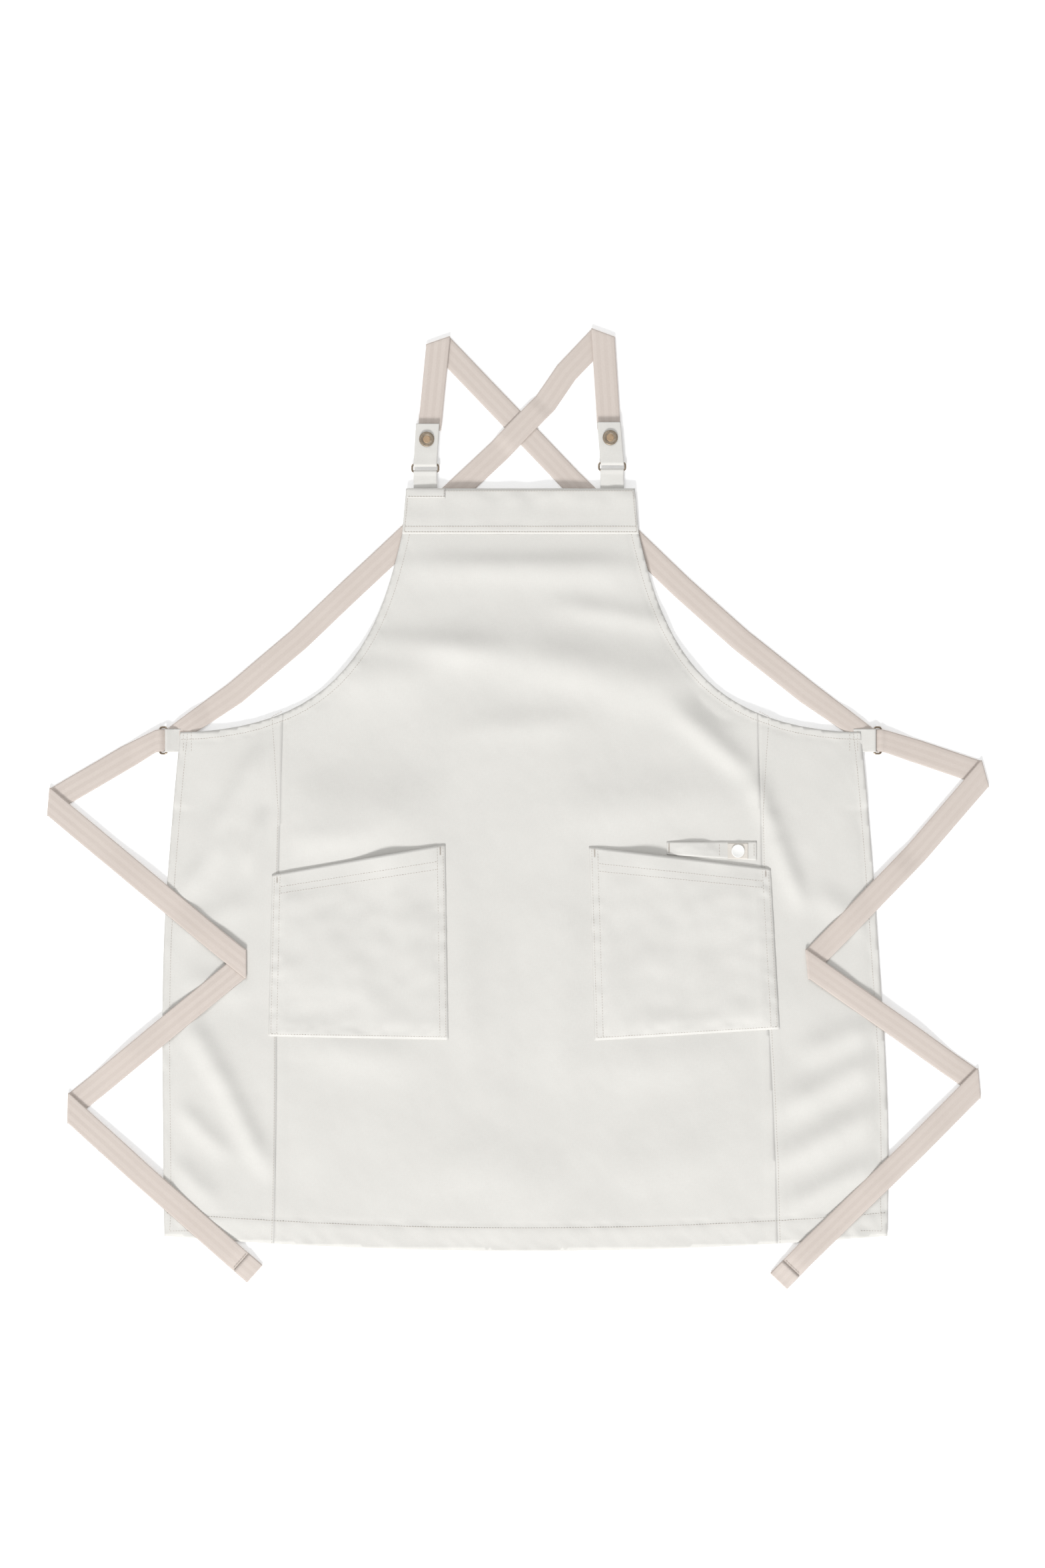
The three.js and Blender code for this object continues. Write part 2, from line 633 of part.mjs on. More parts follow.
// Each length of webbing is drawn as two solids that meet on the waist ring's outer bar: strap and tie.
function addWebbing(strapName, tieName, sign, route) {
  const overBar = route.findLastIndex((step) => step.ring) - 1;
  const [barX, barY] = route[overBar].at;
  const tieStart = { ...route[overBar], at: [barX + sign * gap, barY] };
  add(strapName, tape(route.slice(0, overBar + 1), webbingThickness), tapeCotton);
  add(tieName, tape([tieStart, ...route.slice(overBar + 1)], webbingThickness), tapeCotton);
  add(`${tieName}_end`, tape(tieEnd(route), clothThickness), tapeCotton);
}

addWebbing("left_strap", "right_tie", 1, strapFromLeft);
addWebbing("right_strap", "left_tie", -1, strapFromRight);

export default apron;
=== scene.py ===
"""Cross-back artist's apron of natural cotton twill, laid out flat with its straps folded out."""
import math

import bmesh
import bpy
import numpy as np
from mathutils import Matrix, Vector, geometry, noise


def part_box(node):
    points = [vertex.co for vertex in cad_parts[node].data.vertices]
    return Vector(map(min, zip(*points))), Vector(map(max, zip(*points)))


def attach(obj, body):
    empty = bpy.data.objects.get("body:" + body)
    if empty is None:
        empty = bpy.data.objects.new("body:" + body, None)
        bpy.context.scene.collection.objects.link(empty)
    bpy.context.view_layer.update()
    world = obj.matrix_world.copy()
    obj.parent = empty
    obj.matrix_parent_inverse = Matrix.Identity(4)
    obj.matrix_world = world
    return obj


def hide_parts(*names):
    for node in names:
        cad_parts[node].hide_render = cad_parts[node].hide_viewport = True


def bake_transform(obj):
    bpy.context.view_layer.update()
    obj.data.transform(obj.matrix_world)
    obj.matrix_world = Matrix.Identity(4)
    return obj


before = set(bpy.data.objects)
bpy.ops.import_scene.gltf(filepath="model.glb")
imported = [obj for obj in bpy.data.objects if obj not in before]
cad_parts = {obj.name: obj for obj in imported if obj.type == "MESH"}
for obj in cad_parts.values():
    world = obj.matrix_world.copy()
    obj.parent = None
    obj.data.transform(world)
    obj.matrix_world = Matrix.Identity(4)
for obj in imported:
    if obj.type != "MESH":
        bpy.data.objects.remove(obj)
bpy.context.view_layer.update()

# ---- Table, camera and studio light ----
# The apron lies flat on a plain white table and is seen from straight above with a long lens. A broad soft
# lamp stands low and far off beyond the hem, so every fold is bright on the side that faces it.
camera_height = 4.0
view_centre = (0.00225, 0.030)
view_length = 1.764
camera_data = bpy.data.cameras.new("camera")
camera_data.sensor_width = 36.0
camera_data.lens = camera_data.sensor_width * camera_height / view_length
camera = bpy.data.objects.new("camera", camera_data)
camera.location = (*view_centre, camera_height)
bpy.context.scene.collection.objects.link(camera)
bpy.context.scene.camera = camera
bpy.context.scene.view_settings.view_transform = "Standard"

table_mesh = bpy.data.meshes.new("table")
table_half = 6.0
table_corners = [(x * table_half, y * table_half, 0) for x, y in ((-1, -1), (1, -1), (1, 1), (-1, 1))]
table_mesh.from_pydata(table_corners, [], [(0, 1, 2, 3)])
table = bpy.data.objects.new("table", table_mesh)
table.location.z = -0.0002
bpy.context.scene.collection.objects.link(table)
table_white = bpy.data.materials.new("table_white")
table_white.use_nodes = True
table_shader = table_white.node_tree.nodes["Principled BSDF"]
table_shader.inputs["Base Color"].default_value = (0.94, 0.94, 0.94, 1)
table_shader.inputs["Roughness"].default_value = 0.9
table_shader.inputs["Specular IOR Level"].default_value = 0.1
table_shader.inputs["Emission Color"].default_value = (1, 1, 1, 1)
table_shader.inputs["Emission Strength"].default_value = 0.2
table_mesh.materials.append(table_white)


def soft_light(name, place, aim, size, watts):
    data = bpy.data.lights.new(name, "AREA")
    data.shape = "DISK"
    data.size = size
    data.energy = watts
    lamp = bpy.data.objects.new(name, data)
    lamp.location = place
    lamp.rotation_euler = (Vector(aim) - Vector(place)).to_track_quat("-Z", "Y").to_euler()
    bpy.context.scene.collection.objects.link(lamp)


lamp_width = 2.6
soft_light("key", (-1.6, -9.0, 5.2), (0, 0, 0), lamp_width, 1000)
soft_light("fill", (-2.0, 4.0, 5.0), (0, 0.2, 0), lamp_width, 90)
world = bpy.data.worlds.new("studio")
world.use_nodes = True
backdrop = world.node_tree.nodes["Background"]
backdrop.inputs["Color"].default_value = (1, 1, 1, 1)
backdrop.inputs["Strength"].default_value = 0.56
bpy.context.scene.world = world


# ---- Cotton twill ----
# Natural, unbleached cotton in a fine diagonal twill, with uneven yarn and a dry, matt, slightly cloudy face.
# The same weave, turned back on itself in bands, makes the herringbone of the webbing.
def link(tree, a, b):
    tree.links.new(a, b)


def math_node(tree, operation, a, b=None):
    node = tree.nodes.new("ShaderNodeMath")
    node.operation = operation
    for socket, value in zip(node.inputs, (a, b)):
        if value is None:
            continue
        if isinstance(value, (int, float)):
            socket.default_value = value
        else:
            link(tree, value, socket)
    return node.outputs[0]


def noise_node(tree, coords, scale, detail=3.0, stretch=None):
    if stretch:
        mapping = tree.nodes.new("ShaderNodeMapping")
        mapping.inputs["Scale"].default_value = stretch
        link(tree, coords, mapping.inputs["Vector"])
        coords = mapping.outputs["Vector"]
    node = tree.nodes.new("ShaderNodeTexNoise")
    node.inputs["Scale"].default_value = scale
    node.inputs["Detail"].default_value = detail
    link(tree, coords, node.inputs["Vector"])
    return node.outputs["Fac"]


def mix_colour(tree, factor, a, b):
    node = tree.nodes.new("ShaderNodeMix")
    node.data_type = "RGBA"
    link(tree, factor, node.inputs[0])
    for socket, value in ((node.inputs[6], a), (node.inputs[7], b)):
        if isinstance(value, tuple):
            socket.default_value = value
        else:
            link(tree, value, socket)
    return node.outputs[2]


def new_group(name, inputs, outputs):
    tree = bpy.data.node_groups.new(name, "ShaderNodeTree")
    for label, kind, value in inputs:
        socket = tree.interface.new_socket(label, in_out="INPUT", socket_type=kind)
        if value is not None:
            socket.default_value = value
    for label, kind in outputs:
        tree.interface.new_socket(label, in_out="OUTPUT", socket_type=kind)
    return tree, tree.nodes.new("NodeGroupInput"), tree.nodes.new("NodeGroupOutput")


weave, weave_in, weave_out = new_group(
    "woven_cotton",
    [("Vector", "NodeSocketVector", None), ("Colour", "NodeSocketColor", (0.8, 0.8, 0.8, 1)),
     ("Shade", "NodeSocketColor", (0.6, 0.6, 0.6, 1)), ("Rib Spacing", "NodeSocketFloat", 0.001),
     ("Slant", "NodeSocketFloat", 1.0), ("Zigzag Width", "NodeSocketFloat", 0.0)],
    [("Colour", "NodeSocketColor"), ("Height", "NodeSocketFloat"), ("Roughness", "NodeSocketFloat")])


def weave_math(operation, a, b=None):
    return math_node(weave, operation, a, b)


weave_place = weave_in.outputs["Vector"]
zigzag_width = weave_in.outputs["Zigzag Width"]
axes = weave.nodes.new("ShaderNodeSeparateXYZ")
link(weave, weave_place, axes.inputs[0])
# With a zigzag width, the rib turns back on itself across the tape, which makes a herringbone.
zigzag = weave_math("PINGPONG", axes.outputs[0], zigzag_width)
straight = weave_math("LESS_THAN", zigzag_width, 1e-6)
across = weave_math("ADD", weave_math("MULTIPLY", axes.outputs[0], straight), zigzag)
slanted = weave_math("ADD", weave_math("MULTIPLY", across, weave_in.outputs["Slant"]), axes.outputs[1])
turns = weave_math("DIVIDE", slanted, weave_in.outputs["Rib Spacing"])
rib = weave_math("SINE", weave_math("MULTIPLY", turns, 2 * math.pi))
# The yarns vary along their own length, and the whole cloth is a little cloudy.
slub = noise_node(weave, weave_place, 260, 2, (1.0, 7.0, 1.0))
pick = noise_node(weave, weave_place, 230, 2, (7.0, 1.0, 1.0))
cloud = noise_node(weave, weave_place, 14, 4)
yarn = weave_math("MULTIPLY", weave_math("ADD", slub, pick), 0.5)
height = weave_math("ADD", weave_math("MULTIPLY", rib, 0.35), weave_math("MULTIPLY", yarn, 1.6))
tone = weave_math("ADD", weave_math("MULTIPLY", yarn, 0.75), weave_math("MULTIPLY", cloud, 0.35))
tone = weave_math("ADD", tone, weave_math("MULTIPLY", rib, -0.10))
# Ribs that slant one way catch the light differently from the next band's, so this is painted shade: every
# other band's colour is made darker.
band = weave_math("DIVIDE", axes.outputs[0], zigzag_width)
band = weave_math("LESS_THAN", weave_math("FLOORED_MODULO", band, 2.0), 1.0)
band = weave_math("MULTIPLY", band, weave_math("SUBTRACT", 1.0, straight))
tone = weave_math("SUBTRACT", tone, weave_math("MULTIPLY", band, 0.15))
colour = mix_colour(weave, tone, weave_in.outputs["Shade"], weave_in.outputs["Colour"])
roughness = weave_math("ADD", weave_math("MULTIPLY", cloud, 0.08), 0.84)
link(weave, colour, weave_out.inputs["Colour"])
link(weave, height, weave_out.inputs["Height"])
link(weave, roughness, weave_out.inputs["Roughness"])


def cloth_material(name, colour, shade, coords, rib, slant=1.0, zigzag_width=0.0, depth=0.00012, sheen=0.25):
    material = bpy.data.materials.new(name)
    material.use_nodes = True
    tree = material.node_tree
    shader = tree.nodes["Principled BSDF"]
    place = tree.nodes.new("ShaderNodeTexCoord")
    group = tree.nodes.new("ShaderNodeGroup")
    group.node_tree = weave
    link(tree, place.outputs[coords], group.inputs["Vector"])
    group.inputs["Colour"].default_value = colour
    group.inputs["Shade"].default_value = shade
    group.inputs["Rib Spacing"].default_value = rib
    group.inputs["Slant"].default_value = slant
    group.inputs["Zigzag Width"].default_value = zigzag_width
    bump = tree.nodes.new("ShaderNodeBump")
    bump.inputs["Strength"].default_value = 0.55
    bump.inputs["Distance"].default_value = depth
    link(tree, group.outputs["Height"], bump.inputs["Height"])
    link(tree, group.outputs["Colour"], shader.inputs["Base Color"])
    link(tree, group.outputs["Roughness"], shader.inputs["Roughness"])
    link(tree, bump.outputs["Normal"], shader.inputs["Normal"])
    shader.inputs["Specular IOR Level"].default_value = 0.15
    shader.inputs["Sheen Weight"].default_value = sheen
    shader.inputs["Sheen Roughness"].default_value = 0.5
    return material


twill = cloth_material("twill", (0.745, 0.733, 0.70, 1), (0.612, 0.60, 0.57, 1), "Object", 0.0011)
thread_cream = cloth_material("thread_cream", (0.62, 0.58, 0.53, 1), (0.46, 0.42, 0.38, 1), "Object",
                              0.0006, sheen=0.1)


# ---- Body: centre panel and two side panels ----
# Twill cut flat and joined by two princess seams, each with its allowance pressed towards the centre and
# top-stitched. The cloth has lain folded, so soft creases cross the bib and run down the skirt.
panel_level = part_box("centre_panel")[0].z
cloth_thickness = 0.0008
cad_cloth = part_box("centre_panel")[1].z - panel_level
on_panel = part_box("bib_band")[0].z
bib_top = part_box("centre_panel")[1].y
side_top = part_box("left_side_hem")[1].y
hem_drop = 0.0015
hem_reach = 0.030
allowance_rise = 0.00035
groove = 0.0001

# Each crease: start, end, half width and height, in metres. Negative heights are hollows.
creases = [
    ((-0.117, 0.275), (0.134, 0.272), 0.018, 0.0046),
    ((0.044, 0.231), (0.172, 0.21), 0.013, 0.003),
    ((-0.173, 0.194), (-0.031, 0.178), 0.015, 0.003),
    ((-0.106, 0.188), (0.059, 0.165), 0.027, 0.0056),
    ((0.029, 0.17), (0.179, 0.135), 0.03, 0.0066),
    ((-0.203, 0.147), (-0.098, 0.161), 0.026, 0.004),
    ((0.173, 0.116), (0.258, 0.041), 0.014, 0.0054),
    ((0.194, 0.14), (0.239, 0.102), 0.012, -0.0026),
    ((0.262, 0.035), (0.284, -0.018), 0.011, 0.005),
    ((0.281, -0.014), (0.314, -0.101), 0.012, 0.0056),
    ((-0.252, -0.015), (-0.106, -0.003), 0.046, 0.0062),
    ((-0.26, -0.033), (-0.17, -0.027), 0.016, 0.0022),
    ((-0.241, 0.065), (-0.098, 0.087), 0.05, -0.0012),
    ((0.059, -0.003), (0.224, 0.019), 0.03, 0.0034),
    ((-0.066, 0.091), (0.067, 0.101), 0.018, 0.0026),
    ((-0.289, 0.072), (-0.346, -0.033), 0.015, 0.0048),
    ((-0.331, -0.033), (-0.38, -0.093), 0.014, 0.0036),
    ((-0.289, -0.003), (-0.308, -0.063), 0.01, 0.003),
    ((-0.376, -0.138), (-0.308, -0.101), 0.016, 0.0026),
    ((-0.371, -0.24), (-0.331, -0.31), 0.014, 0.0054),
    ((-0.335, -0.303), (-0.287, -0.401), 0.013, 0.0058),
    ((-0.383, -0.333), (-0.331, -0.386), 0.012, 0.0034),
    ((-0.391, -0.393), (-0.346, -0.438), 0.012, 0.003),
    ((-0.308, -0.205), (-0.376, -0.191), 0.016, 0.0024),
    ((0.318, -0.273), (0.397, -0.241), 0.017, 0.004),
    ((0.292, -0.337), (0.398, -0.281), 0.017, 0.0052),
    ((0.288, -0.397), (0.397, -0.337), 0.017, 0.0052),
    ((0.299, -0.446), (0.397, -0.397), 0.014, 0.0036),
    ((0.393, -0.138), (0.337, -0.093), 0.015, 0.003),
    ((-0.068, -0.093), (-0.055, -0.303), 0.018, 0.0018),
    ((0.059, -0.063), (0.044, -0.318), 0.022, 0.002),
    ((-0.001, -0.138), (-0.004, -0.333), 0.012, -0.001),
    ((-0.248, -0.264), (-0.121, -0.278), 0.024, 0.0032),
    ((0.104, -0.288), (0.239, -0.273), 0.028, 0.0026),
    ((-0.098, -0.393), (0.044, -0.423), 0.034, 0.0024),
    ((0.104, -0.408), (0.224, -0.378), 0.034, 0.0026),
    ((0.329, -0.033), (0.374, 0.065), 0.018, 0.0024),
    ((0.239, -0.063), (0.179, -0.033), 0.012, 0.0016),
]


def smooth(value, low, high):
    t = np.clip((value - low) / (high - low), 0, 1)
    return t * t * (3 - 2 * t)


def distance_to(points, line):
    """Shortest distance from each point to an open polyline, all in plan."""
    best = np.full(len(points), 1e9)
    for a, b in zip(line[:-1], line[1:]):
        run = b - a
        t = np.clip(((points - a) @ run) / max(run @ run, 1e-12), 0, 1)
        best = np.minimum(best, np.linalg.norm(points - (a + t[:, None] * run), axis=1))
    return best


def undulation(points):
    """Low waves that any washed cotton keeps."""
    out = np.empty(len(points))
    for i, (x, y) in enumerate(points):
        out[i] = 0.0014 * noise.noise((x * 9, y * 7, 3.1)) + 0.0008 * noise.noise((x * 26, y * 21, 8.7))
        out[i] += 0.00018 * noise.noise((x * 90, y * 70, 2.4))
    return out


def drape(points):
    """How far the cloth stands above its flat place."""
    rise = undulation(points)
    for start, end, half_width, lift in creases:
        a, b = np.array(start), np.array(end)
        run = b - a
        t = np.clip(((points - a) @ run) / (run @ run), -0.25, 1.25)
        away = np.linalg.norm(points - (a + t[:, None] * run), axis=1)
        taper = smooth(t, -0.25, 0.3) * (1 - smooth(t, 0.7, 1.25))
        rise += lift * taper * np.exp(-((away / half_width) ** 2))
    quiet_bib = 1 - smooth(points[:, 1], bib_top - 0.085, bib_top - 0.055)
    return np.maximum(rise, -0.0012) * (0.12 + 0.88 * quiet_bib)


def outline(node):
    """Plan outline of a flat solid, anticlockwise from above."""
    mesh = bmesh.new()
    mesh.from_mesh(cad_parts[node].data)
    bmesh.ops.remove_doubles(mesh, verts=mesh.verts, dist=1e-5)
    mesh.faces.ensure_lookup_table()
    top = {f for f in mesh.faces if f.normal.z > 0.3}
    after = {}
    for face in top:
        for loop in face.loops:
            if not any(other in top for other in loop.edge.link_faces if other is not face):
                after[loop.vert] = loop.link_loop_next.vert
    first = max(after, key=lambda v: (v.co.y, v.co.x))
    ring, here = [], first
    while not ring or here is not first:
        ring.append((here.co.x, here.co.y))
        here = after[here]
    mesh.free()
    return np.array(ring)


def denser(line, step, closed=True):
    out = []
    ends = np.roll(line, -1, axis=0) if closed else line[1:]
    for a, b in zip(line if closed else line[:-1], ends):
        count = max(1, round(float(np.linalg.norm(b - a)) / step))
        out += [a + (b - a) * k / count for k in range(count)]
    return np.array(out if closed else [*out, line[-1]])


def within(points, ring):
    """Which plan points are inside an outline."""
    x, y = points[:, 0], points[:, 1]
    inside = np.zeros(len(points), bool)
    for a, b in zip(ring, np.roll(ring, -1, axis=0)):
        crosses = (a[1] > y) != (b[1] > y)
        with np.errstate(divide="ignore", invalid="ignore"):
            inside ^= crosses & (x < (b[0] - a[0]) * (y - a[1]) / (b[1] - a[1]) + a[0])
    return inside


def flat_mesh(ring, step):
    """Triangles over an outline, with an even grid of points inside it."""
    edge = denser(ring, step)
    low, high = edge.min(0), edge.max(0)
    grid = np.stack(np.meshgrid(
        np.arange(low[0] + step / 2, high[0], step),
        np.arange(low[1] + step / 2, high[1], step)), -1).reshape(-1, 2)
    grid[::2, 1] += step * 0.03
    grid = grid[within(grid, edge)]
    grid = grid[distance_to(grid, np.vstack([edge, edge[:1]])) > step * 0.45]
    points = [Vector(p) for p in np.vstack([edge, grid])]
    rim = [(i, (i + 1) % len(edge)) for i in range(len(edge))]
    found = geometry.delaunay_2d_cdt(points, rim, [], 1, 1e-7)
    flat = np.array([tuple(p) for p in found[0]])
    return flat, [tuple(f) for f in found[2]]


def make_piece(name, points, faces, material, thickness=0.0):
    """One mesh at the origin; cloth is drawn as its middle layer and given its thickness."""
    mesh = bpy.data.meshes.new(name)
    mesh.from_pydata([tuple(map(float, p)) for p in points], [], faces)
    mesh.validate()
    piece = bpy.data.objects.new(name, mesh)
    bpy.context.scene.collection.objects.link(piece)
    mesh.materials.append(material)
    mesh.shade_smooth()
    if thickness:
        wall = piece.modifiers.new("thickness", "SOLIDIFY")
        wall.thickness = thickness
        wall.offset = 0
    return piece


def put_on(piece, body, slot, *solids):
    """The body that a piece rides and the plain solids that it stands for, which it hides. The slot argument
    is not used.
    """
    if solids:
        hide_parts(*solids)
    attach(piece, body)


def plan_area(ring):
    x, y = ring[:, 0], ring[:, 1]
    return abs(float(np.sum(x * np.roll(y, -1) - y * np.roll(x, -1)))) / 2


# The apron's free edges and seams, picked out of the panels' outlines by where they can be found.
side_beyond, side_below = 0.36, 0.09
seam_within = 0.292
hem_below = -0.470
side_lines, seam_lines = {}, {}
for side, sign in (("left", -1), ("right", 1)):
    panel_ring = outline(f"{side}_side_panel")
    outer = panel_ring[(sign * panel_ring[:, 0] > side_beyond) & (panel_ring[:, 1] < side_below)]
    side_lines[side] = outer[np.argsort(-outer[:, 1])]
    inner = panel_ring[sign * panel_ring[:, 0] < seam_within]
    seam_lines[side] = inner[np.argsort(-inner[:, 1])]
hem_ring = np.vstack([outline(node) for node in ("left_side_panel", "right_side_panel", "centre_panel")])
hem_points = hem_ring[hem_ring[:, 1] < hem_below]
hem_line = hem_points[np.argsort(hem_points[:, 0])]


def panel_height(points):
    """Middle of the panel cloth, above the table."""
    near_top = smooth(points[:, 1], side_top - 0.06, side_top)
    from_sides = [distance_to(points, line) + near_top for line in side_lines.values()]
    low_edge = np.minimum.reduce([distance_to(points, hem_line), *from_sides])
    settled = smooth(low_edge, 0.0, hem_reach)
    flat = panel_level + cad_cloth / 2 - hem_drop * (1 - settled)
    # Pressed allowance beside each princess seam, and the seam's own groove.
    seam = np.minimum(*[distance_to(points, seam_lines[side]) for side in seam_lines])
    pressed = allowance_rise * (1 - smooth(seam, 0.0095, 0.0125)) - groove * np.exp(-((seam / 0.0012) ** 2))
    return flat + pressed + drape(points) * (0.25 + 0.75 * settled)


def surface(points):
    return panel_height(points) + cloth_thickness / 2


pucker_pitch = 0.0105


def pucker(points, line, depth_of_hem, lift):
    """Turned edge: a raised double layer that ends in a puckered, stitched-down step."""
    away = distance_to(points, line)
    along = points[:, 0] * 1.3 + points[:, 1]
    wave = np.array([noise.noise((a / pucker_pitch * 0.6, w * 60, 1.7)) for a, w in zip(along, away)])
    at_stitch = np.exp(-(((away - depth_of_hem) / 0.0035) ** 2))
    raised = lift * (1 - smooth(away, depth_of_hem - 0.001, depth_of_hem + 0.0015))
    loose_edge = 1 - smooth(away, 0, depth_of_hem)
    return raised + at_stitch * (0.0008 * wave - 0.0004) + 0.0008 * wave * loose_edge


armhole_hem = 0.009
bottom_hem_depth = 0.027
armhole_beyond, armhole_above = 0.12, 0.085
armhole_lines = {}
for side, sign in (("left", -1), ("right", 1)):
    panel_edge = np.vstack([outline("centre_panel"), outline(f"{side}_side_panel")])
    near = panel_edge[(sign * panel_edge[:, 0] > armhole_beyond) & (panel_edge[:, 1] > armhole_above)]
    near = near[distance_to(near, seam_lines[side][1:]) > 1e-4]
    armhole_lines[side] = near[np.argsort(-near[:, 1])]

panel_step = 0.0034


def cloth_height(points):
    """Middle of the body cloth with its turned and puckered hems."""
    height = panel_height(points) + pucker(points, hem_line, bottom_hem_depth, 0.0006)
    for side in side_lines:
        height += pucker(points, armhole_lines[side], armhole_hem, 0.0004)
        height += pucker(points, side_lines[side], armhole_hem, 0.0005)
    return height


def lay_cloth(node, height, step=panel_step):
    """A flat cut of cloth in the outline of its solid, laid at the height that a function gives."""
    ring = outline(node)
    for side, sign in (("left", -1), ("right", 1)):
        if node == f"{side}_side_panel":
            # Its seam edge is pulled right up against the centre panel.
            ring[distance_to(ring, seam_lines[side]) < 0.0006, 0] -= sign * 0.0004
    flat, faces = flat_mesh(ring, step)
    piece = make_piece(node + "_cloth", np.column_stack([flat, height(flat)]), faces, twill, cloth_thickness)
    put_on(piece, "apron", "twill", node)
    area = plan_area(ring)
    size = ring.max(0) - ring.min(0)
    if area < 0.35 * size[0] * size[1]:
        # A long narrow strip is cut by its own length and width.
        length = np.linalg.norm(np.diff(np.vstack([ring, ring[:1]]), axis=0), axis=1).sum() / 2
        size = (length, area / length)


for node in ("centre_panel", "left_side_panel", "right_side_panel"):
    lay_cloth(node, cloth_height)

# ---- Turned hems, armhole facings and seam allowances ----
# Each is the panel's own edge turned to the back and stitched down, or a facing cut to match, so it lies flat
# against the panel's underside.
turned_below = 0.0011
for node in ("left_armhole_facing", "right_armhole_facing", "left_side_hem", "right_side_hem", "bottom_hem",
             "left_seam_allowance", "right_seam_allowance"):
    lay_cloth(node, lambda points: cloth_height(points) - turned_below, step=0.006)

# ---- Bib band and its corner patch ----
# A doubled band closes the top of the bib, held by one row of stitches near the top edge and two below.
# A small folded patch of the same twill strengthens its left corner under the tab.
band_lift = on_panel - panel_level
band_ring = outline("bib_band")
band_low = band_ring[:, 1].min()


def rounded_edge(points, ring, roll=0.0022, drop=0.0005):
    """How much a folded edge turns down close to an outline."""
    closed = np.vstack([ring, ring[:1]])
    return -drop * (1 - smooth(distance_to(points, closed), 0, roll))


def band_height(points):
    up = points[:, 1] - band_low
    wave = np.array([noise.noise((x * 55, y * 40, 5.2)) for x, y in points])
    near_low = np.exp(-(((up - 0.004) / 0.006) ** 2))
    near_top = np.exp(-(((points[:, 1] - bib_top + 0.008) / 0.010) ** 2))
    puffed = 0.0005 * smooth(up, 0.006, 0.02) - 0.0008 * (1 - smooth(up, 0, 0.005))
    broad = np.array([noise.noise((x * 17 + y * 12, y * 30, 1.4)) for x, y in points])
    soft = 0.0013 * (wave + 0.5) * (near_low * 0.4 + near_top * 0.9 + 0.25) + 0.0011 * broad * (1 - near_low)
    return panel_height(points) + band_lift + puffed + soft + rounded_edge(points, band_ring)


lay_cloth("bib_band", band_height, step=0.0026)
patch_ring = outline("left_corner_patch")
patch_above_band = 0.0011


def patch_height(points):
    return band_height(points) + patch_above_band + rounded_edge(points, patch_ring, 0.0016, 0.0004)


lay_cloth("left_corner_patch", patch_height, step=0.0018)

# ---- Patch pockets ----
# Self-cloth, folded under and stitched on three sides. The slanted mouth is turned in by about an inch, and
# stands a little open towards its inner end.
pocket_lines = {}
pocket_grid = (72, 64)
facing_grid = (56, 8)
gape_at, gape_width, gape_depth, gape_height = 0.34, 0.13, 0.16, 0.0040
sunk_edge = 0.0008
pocket_size = 0.2
facing_below, facing_clear, facing_thickness = 0.00098, 0.0005, 0.0006


def corners_of(ring, sign):
    """Inner top, outer top, outer bottom and inner bottom corners of a four-cornered outline."""
    outward = ring * (sign, 1)
    return [ring[int(np.argmax(outward @ np.array(pull)))] for pull in ((-1, 1), (1, 1), (1, -1), (-1, -1))]


def grid_faces(across, down):
    row = across + 1
    return [(j * row + i, j * row + i + 1, (j + 1) * row + i + 1, (j + 1) * row + i)
            for j in range(down) for i in range(across)]


def between(corners, u, v):
    """Plan points at the given shares across and down a four-cornered outline."""
    inner_top, outer_top, outer_low, inner_low = corners
    top = inner_top + (outer_top - inner_top) * u[:, None]
    low = inner_low + (outer_low - inner_low) * u[:, None]
    return top + (low - top) * v[:, None]


def grid_of(across, down, u_range=(0, 1), v_range=(0, 1)):
    u, v = np.meshgrid(np.linspace(*u_range, across + 1), np.linspace(*v_range, down + 1))
    return u.ravel(), v.ravel()


def pocket_rise(u, v, seed):
    """Height of the cloth above the panel: flat at the sewn edges, easy in the middle, open at the mouth."""
    sewn = smooth(np.minimum(u, 1 - u), 0, 0.10) * smooth(1 - v, 0, 0.10)
    rim = np.minimum(np.minimum(u, 1 - u) * pocket_size, (1 - v) * pocket_size)
    gape = gape_height * np.exp(-(((u - gape_at) / gape_width) ** 2)) * np.exp(-((v / gape_depth) ** 2))
    easy = 0.0006 * sewn * (1 + smooth(v, 0, 0.2)) + gape * sewn
    below_mouth = sewn * smooth(v, 0.02, 0.2)
    for i in range(len(u)):
        a, b = u[i] * pocket_size, v[i] * pocket_size
        broad = 0.0028 * (noise.noise((a * 13 + b * 8, b * 12, seed)) + 0.2)
        easy[i] += (broad + 0.0009 * noise.noise((a * 40, b * 45, seed))) * below_mouth[i]
        edge = math.exp(-(((rim[i] - 0.006) / 0.007) ** 2))
        easy[i] += edge * 0.0011 * noise.noise((a * 95, b * 95, seed + 4))
    from_edge = np.minimum(np.minimum(u, 1 - u), 1 - v)
    return np.maximum(easy, -0.0002) - sunk_edge * (1 - smooth(from_edge, 0, 0.022))


